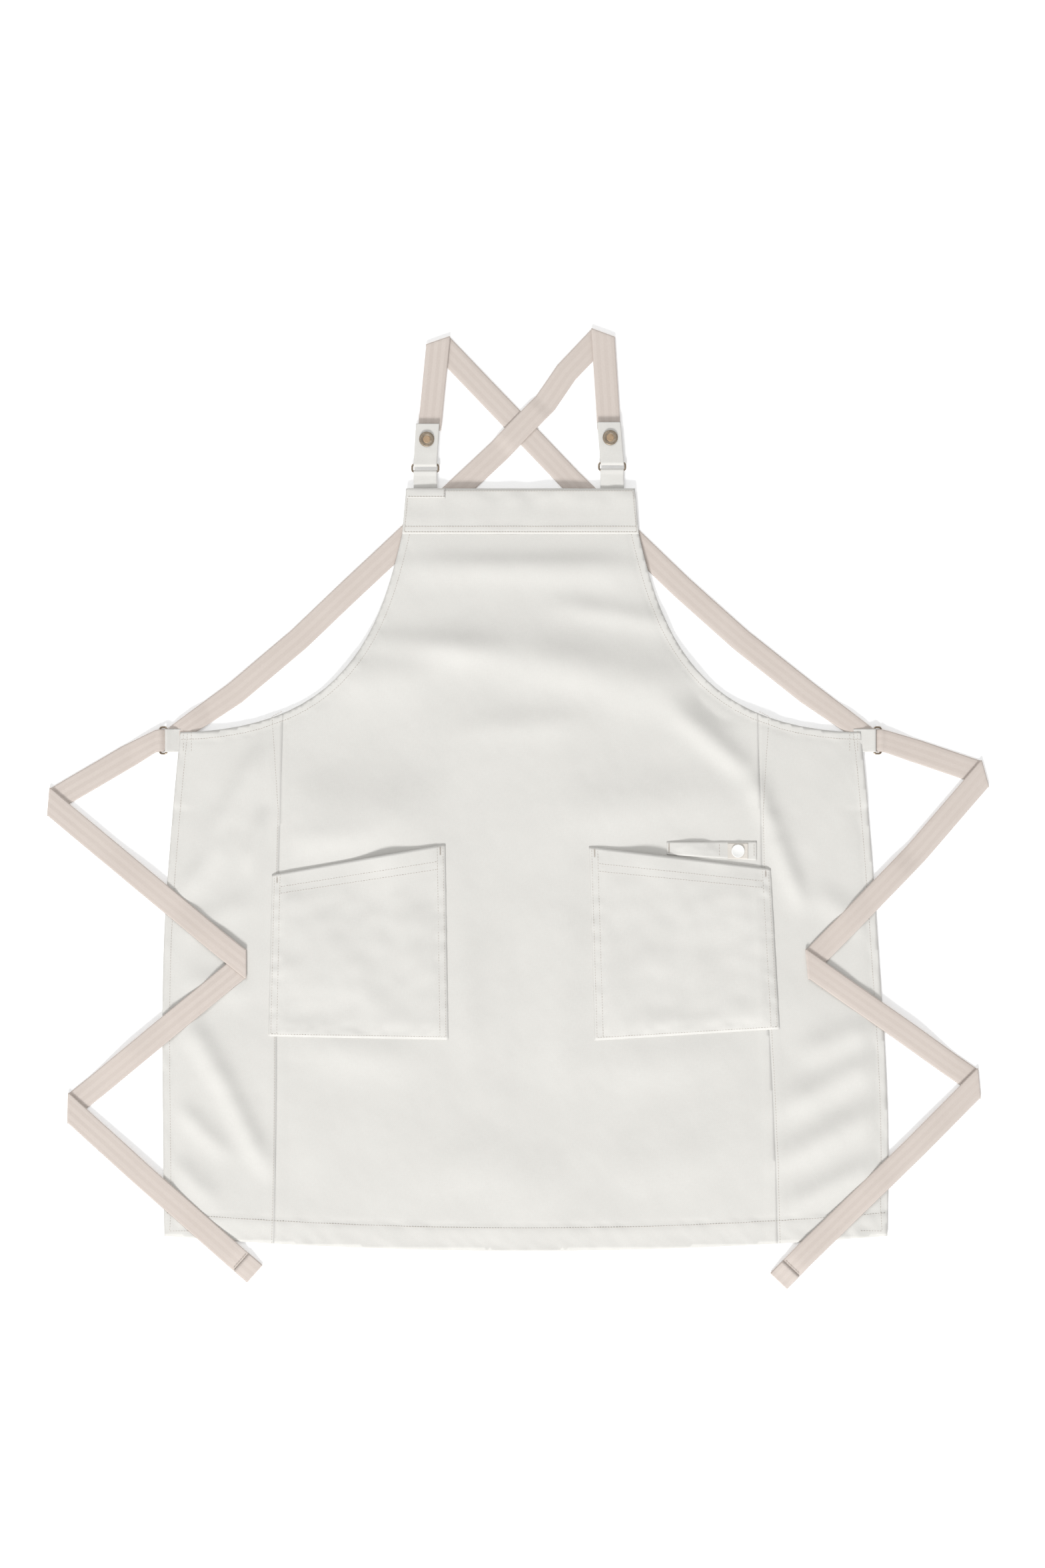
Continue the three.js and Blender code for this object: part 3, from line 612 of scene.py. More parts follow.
for side, sign in (("left", -1), ("right", 1)):
    corners = corners_of(outline(f"{side}_pocket"), sign)
    seed = 11.0 + sign * 3
    pocket_lines[side] = (corners, seed)
    u, v = grid_of(*pocket_grid)
    flat = between(corners, u, v)
    z = cloth_height(flat) + band_lift + pocket_rise(u, v, seed)
    pocket = make_piece(f"{side}_pocket_cloth", np.column_stack([flat, z]), grid_faces(*pocket_grid),
                        twill, cloth_thickness)
    put_on(pocket, "apron", "twill", f"{side}_pocket")

    # The turned-in facing follows the underside of the mouth.
    u, v = grid_of(*facing_grid, (0.07, 0.93), (0.004, 0.15))
    flat = between(corners, u, v)
    z = cloth_height(flat) + band_lift + pocket_rise(u, v, seed) - facing_below
    z = np.maximum(z, surface(flat) + facing_clear)
    facing = make_piece(f"{side}_pocket_facing_cloth", np.column_stack([flat, z]), grid_faces(*facing_grid),
                        twill, facing_thickness)
    put_on(facing, "apron", "twill", f"{side}_pocket_facing")

# ---- Loop for a cloth or a ruler, with its woven tag and plain disc ----
# One strip of twill, sewn down above the right pocket, stands a little off the panel between its ends. A
# short tag of white woven tape is stitched over it, with a plain round disc in the middle.
loop_corners = corners_of(outline("utility_loop"), 1)
loop_grid = (64, 12)
loop_sewn, loop_clear, loop_thickness = 0.00055, 0.0014, 0.0009
u, v = grid_of(*loop_grid)
flat = between(loop_corners, u, v)
stand = np.sin(np.pi * np.clip(u / 0.56, 0, 1)) ** 1.5
ripple = np.array([noise.noise((a * 9, b * 2.2, 3.1)) for a, b in zip(u, v)])
z = surface(flat) + loop_sewn + loop_clear * stand
z += 0.0005 * ripple * smooth(u, 0, 0.1) * smooth(1 - u, 0.3, 0.45)
z += rounded_edge(flat, np.array(loop_corners), 0.0014, 0.0003)
loop_strip = make_piece("utility_loop_cloth", np.column_stack([flat, z]), grid_faces(*loop_grid),
                        twill, loop_thickness)
put_on(loop_strip, "apron", "twill", "utility_loop")

tag_white = cloth_material("tag_white", (0.80, 0.76, 0.70, 1), (0.62, 0.58, 0.53, 1), "Object", 0.0005,
                           sheen=0.1)
tag_ring = outline("loop_label")
tag_low, tag_high = tag_ring.min(0), tag_ring.max(0)
tag_grid = (20, 18)
u, v = grid_of(*tag_grid)
tag_size = tag_high - tag_low
flat = np.column_stack([tag_low[0] + tag_size[0] * u, tag_high[1] - tag_size[1] * v])
z = surface(flat) + 0.0014 + 0.0002 * np.sin(u * 5) + rounded_edge(flat, tag_ring, 0.001, 0.0002)
tag_level = float(z.max())
tag = make_piece("loop_tag", np.column_stack([flat, z]), grid_faces(*tag_grid), tag_white, 0.0005)
put_on(tag, "apron", "webbing", "loop_label")


wear_scale = 900


def metal_material(name, colour, dark, rough, metallic=1.0):
    """Plated wire or stampings: a slightly worn coat that is darker in patches."""
    material = bpy.data.materials.new(name)
    material.use_nodes = True
    tree = material.node_tree
    shader = tree.nodes["Principled BSDF"]
    place = tree.nodes.new("ShaderNodeTexCoord")
    worn = noise_node(tree, place.outputs["Object"], wear_scale, 4.0)
    stain = noise_node(tree, place.outputs["Object"], wear_scale * 0.22, 3.0)
    level = math_node(tree, "MULTIPLY", math_node(tree, "MULTIPLY", worn, stain), 2.6)
    link(tree, mix_colour(tree, level, dark, colour), shader.inputs["Base Color"])
    rough_level = math_node(tree, "MULTIPLY_ADD", stain, 0.18)
    rough_level.node.inputs[2].default_value = rough
    link(tree, rough_level, shader.inputs["Roughness"])
    shader.inputs["Metallic"].default_value = metallic
    bump = tree.nodes.new("ShaderNodeBump")
    bump.inputs["Strength"].default_value = 0.25
    bump.inputs["Distance"].default_value = 0.00003
    link(tree, worn, bump.inputs["Height"])
    link(tree, bump.outputs["Normal"], shader.inputs["Normal"])
    return material


def lathed(name, profile, centre, material, segments=64):
    """A piece turned about a vertical axis, from (radius, height) points that run out from the middle."""
    x, y, z = centre
    points, faces = [], []
    for radius, height in profile:
        for k in range(segments):
            angle = 2 * math.pi * k / segments
            points.append((x + radius * math.cos(angle), y + radius * math.sin(angle), z + height))
    for j in range(len(profile) - 1):
        this, below = j * segments, (j + 1) * segments
        for k in range(segments):
            turn = (k + 1) % segments
            faces.append((this + k, below + k, below + turn, this + turn))
    top, low = len(points), len(points) + 1
    points += [(x, y, z + profile[0][1]), (x, y, z + profile[-1][1])]
    last = (len(profile) - 1) * segments
    faces += [(top, k, (k + 1) % segments) for k in range(segments)]
    faces += [(low, last + (k + 1) % segments, last + k) for k in range(segments)]
    return make_piece(name, points, faces, material)


enamel = bpy.data.materials.new("disc_white")
enamel.use_nodes = True
enamel_shader = enamel.node_tree.nodes["Principled BSDF"]
enamel_shader.inputs["Base Color"].default_value = (0.88, 0.88, 0.86, 1)
enamel_shader.inputs["Roughness"].default_value = 0.45
disc_ring = outline("label_disc")
disc_centre = (disc_ring.max(0) + disc_ring.min(0)) / 2
disc_radius = float((disc_ring.max(0) - disc_ring.min(0)).max() / 2)
disc_edge = ((0.0011, 0.00034), (0.0009, 0.00046), (0.0004, 0.00050), (0.0001, 0.0004), (0, 0.0002),
             (0, -0.0001))
disc_profile = [(disc_radius - inward, up) for inward, up in disc_edge]
disc = lathed("plain_disc", disc_profile, (*disc_centre, tag_level + 0.0003), enamel)
put_on(disc, "apron", "label_disc", "label_disc")

# ---- Bib tabs, wire rings and snap flaps ----
# Each tab is a strip of twill folded round the ring's lower bar and sewn under the bib's top edge. The
# strap's own tab turns round the upper bar and snaps back on itself with a cap, a socket, a stud and a post.
bronze_wire = metal_material("bronze_wire", (0.40, 0.33, 0.26, 1), (0.20, 0.155, 0.115, 1), 0.30)
snap_rim = metal_material("snap_rim", (0.42, 0.35, 0.27, 1), (0.20, 0.16, 0.12, 1), 0.42, 0.85)
snap_face = metal_material("snap_face", (0.56, 0.41, 0.27, 1), (0.36, 0.26, 0.17, 1), 0.50, 0.8)
millimetre = 0.001
bar_height = 0.0045
bar_radius = 0.0011
bar_spacing = 0.0089
ring_half = 0.0159 - bar_radius
ring_corner = 0.0030
wire_sides = 18


def wire_ring(name, node, body, place, tilt, turn=0.0):
    """Round wire bent to a rectangle: two long bars along X and rounded corners, closed by a butt joint."""
    path = []
    for quarter, (sx, sy) in enumerate([(1, -1), (1, 1), (-1, 1), (-1, -1)]):
        corner_x = sx * (ring_half - ring_corner)
        corner_y = bar_spacing / 2 + sy * (bar_spacing / 2 - ring_corner)
        for step in range(9):
            angle = -math.pi / 2 + quarter * math.pi / 2 + step * math.pi / 16
            path.append((corner_x + ring_corner * math.cos(angle), corner_y + ring_corner * math.sin(angle)))
        if quarter in (0, 2):
            path += [(sx * ring_half, bar_spacing / 2)]
        else:
            path += [(sx * ring_half * (1 - k / 4), bar_spacing if sy > 0 else 0.0) for k in (2, 4, 6)]
    path = np.array(path)
    points, faces = [], []
    for i in range(len(path)):
        run = path[(i + 1) % len(path)] - path[i - 1]
        out = np.array([run[1], -run[0]]) / np.linalg.norm(run)
        for k in range(wire_sides):
            angle = 2 * math.pi * k / wire_sides
            px, py = path[i] + out * bar_radius * math.cos(angle)
            pz = bar_radius * math.sin(angle)
            # Tipped down about the first bar, then turned to its tab.
            ty = py * math.cos(tilt) + pz * math.sin(tilt)
            tz = -py * math.sin(tilt) + pz * math.cos(tilt)
            wx = px * math.cos(turn) - ty * math.sin(turn)
            wy = px * math.sin(turn) + ty * math.cos(turn)
            points.append((place[0] + wx, place[1] + wy, place[2] + tz))
        here, ahead = i * wire_sides, (i + 1) % len(path) * wire_sides
        for k in range(wire_sides):
            turned = (k + 1) % wire_sides
            faces.append((here + k, ahead + k, ahead + turned, here + turned))
    put_on(make_piece(name, points, faces, bronze_wire), body, "ring_wire", node)


def folded_strip(name, line, width, place, turn=0.0, shear=0.0, thickness=0.0006, seed=1.0):
    """A strip of twill whose middle follows a line of (along, up) points, drawn along Y and then turned."""
    line = denser(np.array(line), 0.0011, closed=False)
    across = 20
    points = []
    for i, (along, up) in enumerate(line):
        for k in range(across + 1):
            side = k / across * 2 - 1
            wobble = noise.noise((along * 90 + seed, side * 1.1, seed + (0 if i < len(line) / 2 else 4)))
            edge_dip = -0.00018 * max(0.0, abs(side) - 0.82) / 0.18
            x = side * width / 2 + shear * along + 0.0002 * wobble
            z = up + 0.00022 * wobble + edge_dip * (1 if up > 0 else -1)
            points.append((place[0] + x * math.cos(turn) - along * math.sin(turn),
                           place[1] + x * math.sin(turn) + along * math.cos(turn), place[2] + z))
    return make_piece(name, points, grid_faces(across, len(line) - 1), twill, thickness)


def arc(radius, start, end, count=14):
    angles = np.radians(np.linspace(start, end, count))
    return [(radius * math.cos(a), radius * math.sin(a)) for a in angles]


def tab_line(length, sewn_level, eye):
    """Out under the bar, round it, and back on top to the sewn end."""
    low = sewn_level - bar_height
    return [(-length, low + 0.0002), (-0.004, -eye + 0.0001), *arc(eye, -90, 105), (-0.0045, eye - 0.0012),
            (-length * 0.55, low + 0.0016), (-length, low + 0.0008)]


tab_width = 0.0262
tab_cloth_level = 0.0018
tab_eye = 0.0019
tab_sewn_in = 0.016
ring_fall = 0.0008
flap_eye = 0.0027
flap_thickness = 0.0008
flap_reach = 0.0276
flap_length = 0.0455
bib_rings = {"left": (-0.107, 0.3806, 0.06), "right": (0.103, 0.3824, -0.08)}
snap_places = {}

# Each snap part: its solid, what it is pressed on, its level, its finish, the steps of its turning, and its
# outline in millimetres as (radius, height) points from the middle outwards.
snap_parts = {
    "rim": (["snap_cap"], "flap", bar_height + 0.0035, snap_rim, 96,
            [(4.1, 1.05), (4.5, 1.25), (5.4, 1.5), (6.4, 1.68), (7.3, 1.6), (7.9, 1.35), (8.3, 0.95),
             (8.48, 0.5), (8.3, 0.1), (7.6, 0.02)]),
    "face": ([], "flap", bar_height + 0.0036, snap_face, 96,
             [(1.0, 1.26), (2.4, 1.34), (3.4, 1.28), (3.9, 1.16), (4.25, 1.0), (4.3, 0.5)]),
    "socket_ring": (["snap_socket"], "flap", bar_height + 0.0019, snap_rim, 64,
                    [(4.9, 0.0), (5.45, -0.15), (5.5, -0.6), (5.3, -1.9), (4.6, -2.5), (3.4, -2.6),
                     (2.7, -2.5), (2.3, -2.0)]),
    "stud_turned": (["snap_stud"], "apron", bar_height - 0.0019, snap_rim, 64,
                    [(0.5, 2.5), (1.2, 2.42), (1.75, 2.1), (1.95, 1.7), (1.8, 1.3), (1.7, 0.9), (2.2, 0.7),
                     (4.6, 0.6), (5.2, 0.45), (5.45, 0.1)]),
    "post_turned": (["snap_post"], "apron", 0, snap_rim, 64,
                    [(3.8, 0.98), (4.6, 0.95), (4.95, 0.7), (4.95, 0.4), (4.5, 0.1), (2.5, 0.02)])}

for side, (ring_x, ring_y, ring_lean) in bib_rings.items():
    place = (ring_x, ring_y, bar_height)
    tab_length = ring_y - bib_top + tab_sewn_in
    line = tab_line(tab_length, tab_cloth_level, tab_eye)
    tab = folded_strip(f"{side}_bib_tab_cloth", line, tab_width, place, seed=2.0 if side == "left" else 5.0)
    put_on(tab, "apron", "twill", f"{side}_bib_tab")
    tilt = math.asin(ring_fall / bar_spacing)
    wire_ring(f"{side}_bib_ring_wire", f"{side}_bib_ring", f"{side}_ring", place, tilt)

    upper_y = ring_y + bar_spacing * math.cos(tilt)
    line = [(flap_length - 0.0002, -flap_eye), (0.006, -flap_eye), *arc(flap_eye, -90, -270, 22),
            (0.006, flap_eye - 0.0001), (0.013, flap_eye + 0.0001), (flap_length - 0.0002, flap_eye)]
    flap = folded_strip(f"{side}_strap_tab_and_flap", line, tab_width, (ring_x, upper_y, bar_height),
                        shear=ring_lean, thickness=flap_thickness, seed=7.0 if side == "left" else 9.0)
    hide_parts(f"{side}_snap_flap", f"{side}_strap_tab")
    solid = bpy.data.meshes.new_from_object(flap.evaluated_get(bpy.context.evaluated_depsgraph_get()))
    flap.modifiers.clear()
    flap.data = solid
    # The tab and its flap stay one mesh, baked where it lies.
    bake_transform(flap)

    snap_x, snap_y = ring_x + ring_lean * flap_reach, upper_y + flap_reach
    snap_places[side] = (snap_x, snap_y)
    for part, (solids, held_by, level, finish, segments, profile) in snap_parts.items():
        profile = [(radius * millimetre, height * millimetre) for radius, height in profile]
        turned = lathed(f"{side}_snap_{part}", profile, (snap_x, snap_y, level), finish, segments)
        body = f"{side}_flap" if held_by == "flap" else "apron"
        put_on(turned, body, "snap_brass", *[f"{side}_{solid}" for solid in solids])

# ---- Waist tabs and rings ----
# A folded tab sewn to each side corner carries a ring of the same bronze wire. The strap comes up through the
# ring and leaves over its outer bar.
waist_bar_x, waist_y = 0.3975, 0.079
waist_tilt = math.asin((bar_height - bar_radius) / bar_spacing)
side_tab_width = 0.026
cloth_side_x, side_tab_sewn_in = 0.3825, 0.008
side_tab_length = waist_bar_x - cloth_side_x + side_tab_sewn_in
side_tab_line = tab_line(side_tab_length, tab_cloth_level, tab_eye)
for side, sign in (("left", -1), ("right", 1)):
    place = (sign * waist_bar_x, waist_y, bar_height)
    turn = -sign * math.pi / 2
    tab = folded_strip(f"{side}_side_tab_cloth", side_tab_line, side_tab_width, place, turn=turn,
                       seed=3.0 + sign)
    put_on(tab, "apron", "twill", f"{side}_side_tab")
    wire_ring(f"{side}_waist_ring_wire", f"{side}_waist_ring", f"{side}_waist", place, waist_tilt, turn=turn)

# ---- Cotton webbing: two straps that cross at the back and run on as ties ----
# Each is one length of inch-wide herringbone tape. It is folded over at the shoulder and in every bend of the
# tie, and its cut end is turned over and sewn down. The routes' places and levels are in millimetres.
# Its zigzag width switches on the weave's painted shade, which darkens the colour of every other herringbone
# band.
webbing = cloth_material("webbing", (0.72, 0.65, 0.60, 1), (0.545, 0.475, 0.428, 1), "UV", 0.00085,
                         zigzag_width=0.0042, depth=0.00016, sheen=0.2)
tape_width = 0.0254
tape_in_ring = 0.0246
tape_thickness = 0.0012
turned_radius, turned_length = 0.62, 19
on_panel_level = 5.0
ring_step = "ring"
routes = {
    "left_strap": [
        (-102.2, 428, 3.3), (-92.6, 527.3, 3.3, 0.7), (-44.3, 477, 0.7), (56.3, 372, 0.7), (180.8, 252, 0.7),
        (248, 192, 0.7), (323.6, 132, 0.7), (397.9, 79, 0.7, ring_step), (405.7, 79, 4.7, ring_step),
        (410.7, 78, 3.2, ring_step), (445, 67, 0.7), (521.3, 41.3, 0.7, 3.3), (444.4, -48, 3.3),
        (424, -69, 5.0), (323.3, -172.5, 5.0, 7.6), (352, -192.5, 7.6), (392, -220.5, 5.0), (434, -250, 5.0),
        (486, -287, 0.7), (514.5, -306.8, 0.7, 3.3), (443.6, -378, 5.0), (315, -503, 5.0),
        (291, -528.4, 0.7)],
    "right_strap": [
        (99.4, 428, 3.3), (92.7, 536, 3.3, 0.7), (51.4, 492.8, 0.7), (28, 458.5, 0.7), (17.5, 448, 2.4),
        (-12.5, 417, 2.4), (-23, 406, 0.7), (-187.5, 252, 0.7), (-250.5, 192, 0.7), (-321.8, 132, 0.7),
        (-397.9, 79, 0.7, ring_step), (-405.7, 79, 4.7, ring_step), (-410.7, 78, 3.2, ring_step),
        (-442, 61, 0.7), (-529.5, 9.8, 0.7, 3.3), (-463, -46, 3.3), (-420, -81.5, 5.0), (-394, -103, 5.0),
        (-340, -147.5, 7.6), (-309.8, -171.8, 7.6, 5.0), (-427, -268, 5.0), (-480, -312, 0.7),
        (-507.8, -334.5, 0.7, 3.3), (-424, -410, 5.0), (-326, -496.5, 5.0), (-299.6, -520.1, 0.7)]}
ties = {"left_strap": "right_tie", "right_strap": "left_tie"}


def unit(vector):
    """The same direction at length one."""
    return vector / np.linalg.norm(vector)


def stations_along(route):
    """Middle, half-width vector and upper-face normal of the tape at each step of its route."""
    stations, face_up = [], 1.0
    for i, (x, y, level, *rest) in enumerate(route):
        here = np.array((x, y))
        arriving = unit(here - route[i - 1][:2]) if i else None
        leaving = unit(np.array(route[i + 1][:2]) - here) if i < len(route) - 1 else None
        arriving = leaving if arriving is None else arriving
        leaving = arriving if leaving is None else leaving
        along = unit(arriving + leaving)
        left = np.array((-arriving[1], arriving[0])) * face_up
        half = tape_width * 500
        if rest and rest[0] != ring_step:
            # A diagonal fold: the crease is half-way between the two runs.
            crease = along * half / (along @ left)
            outward = unit(arriving - leaving)
            up = np.sign(rest[0] - level)
            radius = abs(rest[0] - level) / 2
            for angle in np.linspace(0, math.pi, 13):
                radial = np.array((*(outward * math.sin(angle)), -up * math.cos(angle)))
                centre = np.array((x, y, (level + rest[0]) / 2)) + radial * radius
                stations.append((centre, np.array((*crease, 0)), -face_up * up * radial, True))
            face_up = -face_up
            continue
        lateral = np.array((-along[1], along[0])) * face_up * half / abs(along @ arriving)
        if rest:
            lateral = np.array((0, math.copysign(tape_in_ring * 500, lateral[1])))
        stations.append((np.array((x, y, level)), np.array((*lateral, 0)), np.array((0, 0, face_up)), False))
    centre, lateral, normal, _ = stations[-1]
    run = np.array((*unit(centre[:2] - stations[-2][0][:2]), 0))
    before = stations[-2][0]
    for angle in np.linspace(0.2, math.pi, 9):
        radial = run * math.sin(angle) - np.array((0, 0, 1)) * math.cos(angle)
        turned = centre + np.array((0, 0, turned_radius)) + radial * turned_radius
        stations.append((turned, lateral, -normal[2] * radial, True))
    slope = (before[2] - centre[2]) / np.linalg.norm(before[:2] - centre[:2])
    folded_end = centre - run * turned_length + np.array((0, 0, 2 * turned_radius + slope * turned_length))
    stations.append((folded_end, lateral, -normal, True))
    return stations


def finer(stations, step=3.0):
    """Stations every few millimetres, with each change of level eased in."""
    out = []
    for (c0, l0, n0, fold0), (c1, l1, n1, fold1) in zip(stations[:-1], stations[1:]):
        count = max(1, round(np.linalg.norm(c1 - c0) / step))
        for k in range(count):
            share = k / count
            eased = share * share * (3 - 2 * share)
            centre = c0 + (c1 - c0) * share
            centre[2] = c0[2] + (c1[2] - c0[2]) * eased
            out.append((centre, l0 + (l1 - l0) * share, n0 + (n1 - n0) * share, fold0 and fold1))
    return [*out, stations[-1]]


apron_rings = [outline(node) for node in ("centre_panel", "left_side_panel", "right_side_panel")]
tape_half_profile = [(-1, 0), (-0.975, 0.62), (-0.90, 0.96), (-0.5, 1.0), (0, 0.97), (0.5, 1.0), (0.90, 0.96),
                     (0.975, 0.62)]
tape_profile = tape_half_profile + [(-across, -up) for across, up in tape_half_profile]
tape_edges, tape_ends = {}, {}
for name, route in routes.items():
    stations = finer(stations_along(route))
    centres = np.array([s[0] for s in stations])
    laterals = np.array([s[1] for s in stations])
    normals = np.array([s[2] for s in stations])
    normals /= np.linalg.norm(normals, axis=1)[:, None]
    plan = centres[:, :2] / 1000
    # The tie lies on the apron's cloth, wherever that has a fold.
    on_apron = np.zeros(len(plan), bool)
    cloth_top = np.zeros(len(plan))
    for side in (-1, 0, 1):
        spot = plan + laterals[:, :2] / 1000 * side
        over = np.any([within(spot, ring) for ring in apron_rings], axis=0)
        cloth_top = np.maximum(cloth_top, np.where(over, surface(spot), 0))
        on_apron |= over
    stacked = np.maximum(centres[:, 2] - on_panel_level, 0) / 1000
    lifted = np.where(on_apron & (centres[:, 1] < 100), cloth_top + tape_thickness / 2 + 0.0001 + stacked, 0)
    raise_by = np.maximum(lifted - centres[:, 2] / 1000, 0)
    raise_by = np.convolve(np.pad(raise_by, 6, "edge"), np.ones(13) / 13, "valid")
    heights = centres[:, 2] / 1000 + raise_by
    travelled = np.concatenate([[0], np.cumsum(np.linalg.norm(np.diff(plan, axis=0), axis=1))])
    points, coords = [], []
    for i in range(len(stations)):
        lateral = laterals[i] / 1000
        sway = 0.0004 * noise.noise((travelled[i] * 14, 2.0, len(name)))
        cup = 0.00022 * noise.noise((travelled[i] * 20, 7.0, len(name)))
        middle = np.array((*plan[i], heights[i]))
        for across, up in tape_profile:
            bend = cup * (across * across - 0.4)
            spot = middle + lateral * across + normals[i] * (up * tape_thickness / 2 + bend)
            spot[:2] += unit(lateral[:2]) * sway
            points.append(spot)
            coords.append(((across + 1) * tape_width / 2, travelled[i]))
    around = len(tape_profile)
    last = (len(stations) - 1) * around
    faces = [(ring + k, ring + (k + 1) % around, ring + around + (k + 1) % around, ring + around + k)
             for ring in range(0, last, around) for k in range(around)]
    faces += [tuple(range(around))[::-1], tuple(last + k for k in range(around))]
    tape = make_piece(f"{name}_webbing", points, faces, webbing)
    fit = bmesh.new()
    fit.from_mesh(tape.data)
    bmesh.ops.recalc_face_normals(fit, faces=fit.faces)
    fit.to_mesh(tape.data)
    fit.free()
    tape.data.shade_smooth()
    layer = tape.data.uv_layers.new(name="weave")
    for corner_data in tape.data.loops:
        layer.data[corner_data.index].uv = coords[corner_data.vertex_index]
    put_on(tape, "apron", "webbing", name, ties[name], f"{ties[name]}_end")
    middle = np.column_stack([plan, heights])
    tape_edges[name] = (middle, laterals / 1000)
    tape_ends[name] = (middle[-1], unit(laterals[-1][:2]), unit(plan[-1] - plan[-4]))

# ---- Stitching, ribs and picots ----
# Cream thread in lockstitch rows and bartacks, the pressed ribs round each snap cap, and the small loops of
# weft along both edges of the tape. Each kind is one short length of thread or metal, repeated along its row.
def row_tree(name, bend, seed):
    """Sets one bent length at every vertex, which holds its direction (along) and its size (reach)."""
    tree = bpy.data.node_groups.new(name, "GeometryNodeTree")
    for label, kind in (("Geometry", "Geometry"), ("Thread Material", "Material"), ("Thread Radius", "Float"),
                        ("Unevenness", "Float")):
        tree.interface.new_socket(label, in_out="INPUT", socket_type="NodeSocket" + kind)
    tree.interface.new_socket("Geometry", in_out="OUTPUT", socket_type="NodeSocketGeometry")
    given = tree.nodes.new("NodeGroupInput")
    result = tree.nodes.new("NodeGroupOutput")
    length = tree.nodes.new("GeometryNodeCurveQuadraticBezier")
    length.inputs["Resolution"].default_value = 4
    length.inputs["Start"].default_value = (-0.5, 0, bend[2])
    length.inputs["Middle"].default_value = (0, bend[0], bend[1])
    length.inputs["End"].default_value = (0.5, 0, bend[2])
    circle = tree.nodes.new("GeometryNodeCurvePrimitiveCircle")
    circle.inputs["Resolution"].default_value = 5
    link(tree, given.outputs["Thread Radius"], circle.inputs["Radius"])
    solid = tree.nodes.new("GeometryNodeCurveToMesh")
    solid.inputs["Fill Caps"].default_value = True
    link(tree, length.outputs["Curve"], solid.inputs["Curve"])
    link(tree, circle.outputs["Curve"], solid.inputs["Profile Curve"])
    held = {}
    for key in ("along", "reach"):
        held[key] = tree.nodes.new("GeometryNodeInputNamedAttribute")
        held[key].data_type = "FLOAT_VECTOR"
        held[key].inputs["Name"].default_value = key
    stray = tree.nodes.new("FunctionNodeRandomValue")
    stray.data_type = "FLOAT_VECTOR"
    stray.inputs["Min"].default_value = (-1, -1, -1)
    stray.inputs["Max"].default_value = (1, 1, 1)
    stray.inputs["Seed"].default_value = seed
    scaled = tree.nodes.new("ShaderNodeVectorMath")
    scaled.operation = "SCALE"
    link(tree, stray.outputs["Value"], scaled.inputs["Vector"])
    link(tree, given.outputs["Unevenness"], scaled.inputs["Scale"])
    swayed = tree.nodes.new("ShaderNodeVectorMath")
    link(tree, held["along"].outputs["Attribute"], swayed.inputs[0])
    link(tree, scaled.outputs["Vector"], swayed.inputs[1])
    aim = tree.nodes.new("FunctionNodeAlignRotationToVector")
    aim.axis = "X"
    aim.pivot_axis = "Z"
    link(tree, swayed.outputs["Vector"], aim.inputs["Vector"])
    place = tree.nodes.new("GeometryNodeInstanceOnPoints")
    link(tree, given.outputs["Geometry"], place.inputs["Points"])
    link(tree, solid.outputs["Mesh"], place.inputs["Instance"])
    link(tree, aim.outputs["Rotation"], place.inputs["Rotation"])
    link(tree, held["reach"].outputs["Attribute"], place.inputs["Scale"])
    real = tree.nodes.new("GeometryNodeRealizeInstances")
    finish = tree.nodes.new("GeometryNodeSetMaterial")
    link(tree, place.outputs["Instances"], real.inputs["Geometry"])
    link(tree, real.outputs["Geometry"], finish.inputs["Geometry"])
    link(tree, given.outputs["Thread Material"], finish.inputs["Material"])
    link(tree, finish.outputs["Geometry"], result.inputs["Geometry"])
    return tree


def grow(name, tree, centres, along, reach, material, radius, unevenness, body, slot):
    """Runs a row tree over its points once, and keeps the result as one plain mesh on its body."""
    seeds = bpy.data.meshes.new(name + "_points")
    seeds.from_pydata([tuple(map(float, p)) for p in centres], [], [])
    for key, values in (("along", along), ("reach", reach)):
        store = seeds.attributes.new(key, "FLOAT_VECTOR", "POINT")
        store.data.foreach_set("vector", np.asarray(values, np.float32).ravel())
    piece = bpy.data.objects.new(name, seeds)
    bpy.context.scene.collection.objects.link(piece)
    rows = piece.modifiers.new("rows", "NODES")
    rows.node_group = tree
    settings = {"Thread Material": material, "Thread Radius": radius, "Unevenness": unevenness}
    for socket in tree.interface.items_tree:
        if socket.in_out == "INPUT" and socket.name in settings:
            rows[socket.identifier] = settings[socket.name]
    piece.update_tag()
    bpy.context.view_layer.update()
    solid = bpy.data.meshes.new_from_object(piece.evaluated_get(bpy.context.evaluated_depsgraph_get()))
    solid.shade_smooth()
    piece.modifiers.clear()
    piece.data = solid
    put_on(piece, body, slot)


def run_along(line):
    """Distance travelled at each point of a line."""
    return np.concatenate([[0], np.cumsum(np.linalg.norm(np.diff(line, axis=0), axis=1))])


def at_run(values, run, at):
    """Values along a line, read at the given distances."""
    return np.column_stack([np.interp(at, run, column) for column in values.T])


stitches = {"centres": [], "along": [], "reach": []}
cloth_rise = cloth_thickness / 2
stitch_pitch = 0.0031
stitch_share = 0.74
nudge = 1e-4


def sew(line, height):
    """A row of stitches along a plan line, at the height that a function gives."""
    line = np.array(line, float)
    run = run_along(line)
    count = max(1, int(run[-1] / stitch_pitch))
    at = (np.arange(count) + 0.5) * run[-1] / count
    spots = at_run(line, run, at)
    ahead = at_run(line, run, at + nudge) - at_run(line, run, at - nudge)
    stitches["centres"] += list(np.column_stack([spots, height(spots)]))
    stitches["along"] += list(np.column_stack([ahead, np.zeros(count)]) / (2 * nudge))
    stitches["reach"] += [(run[-1] / count * stitch_share, 1.0, 0.8)] * count


bartack_pitch = 0.00055


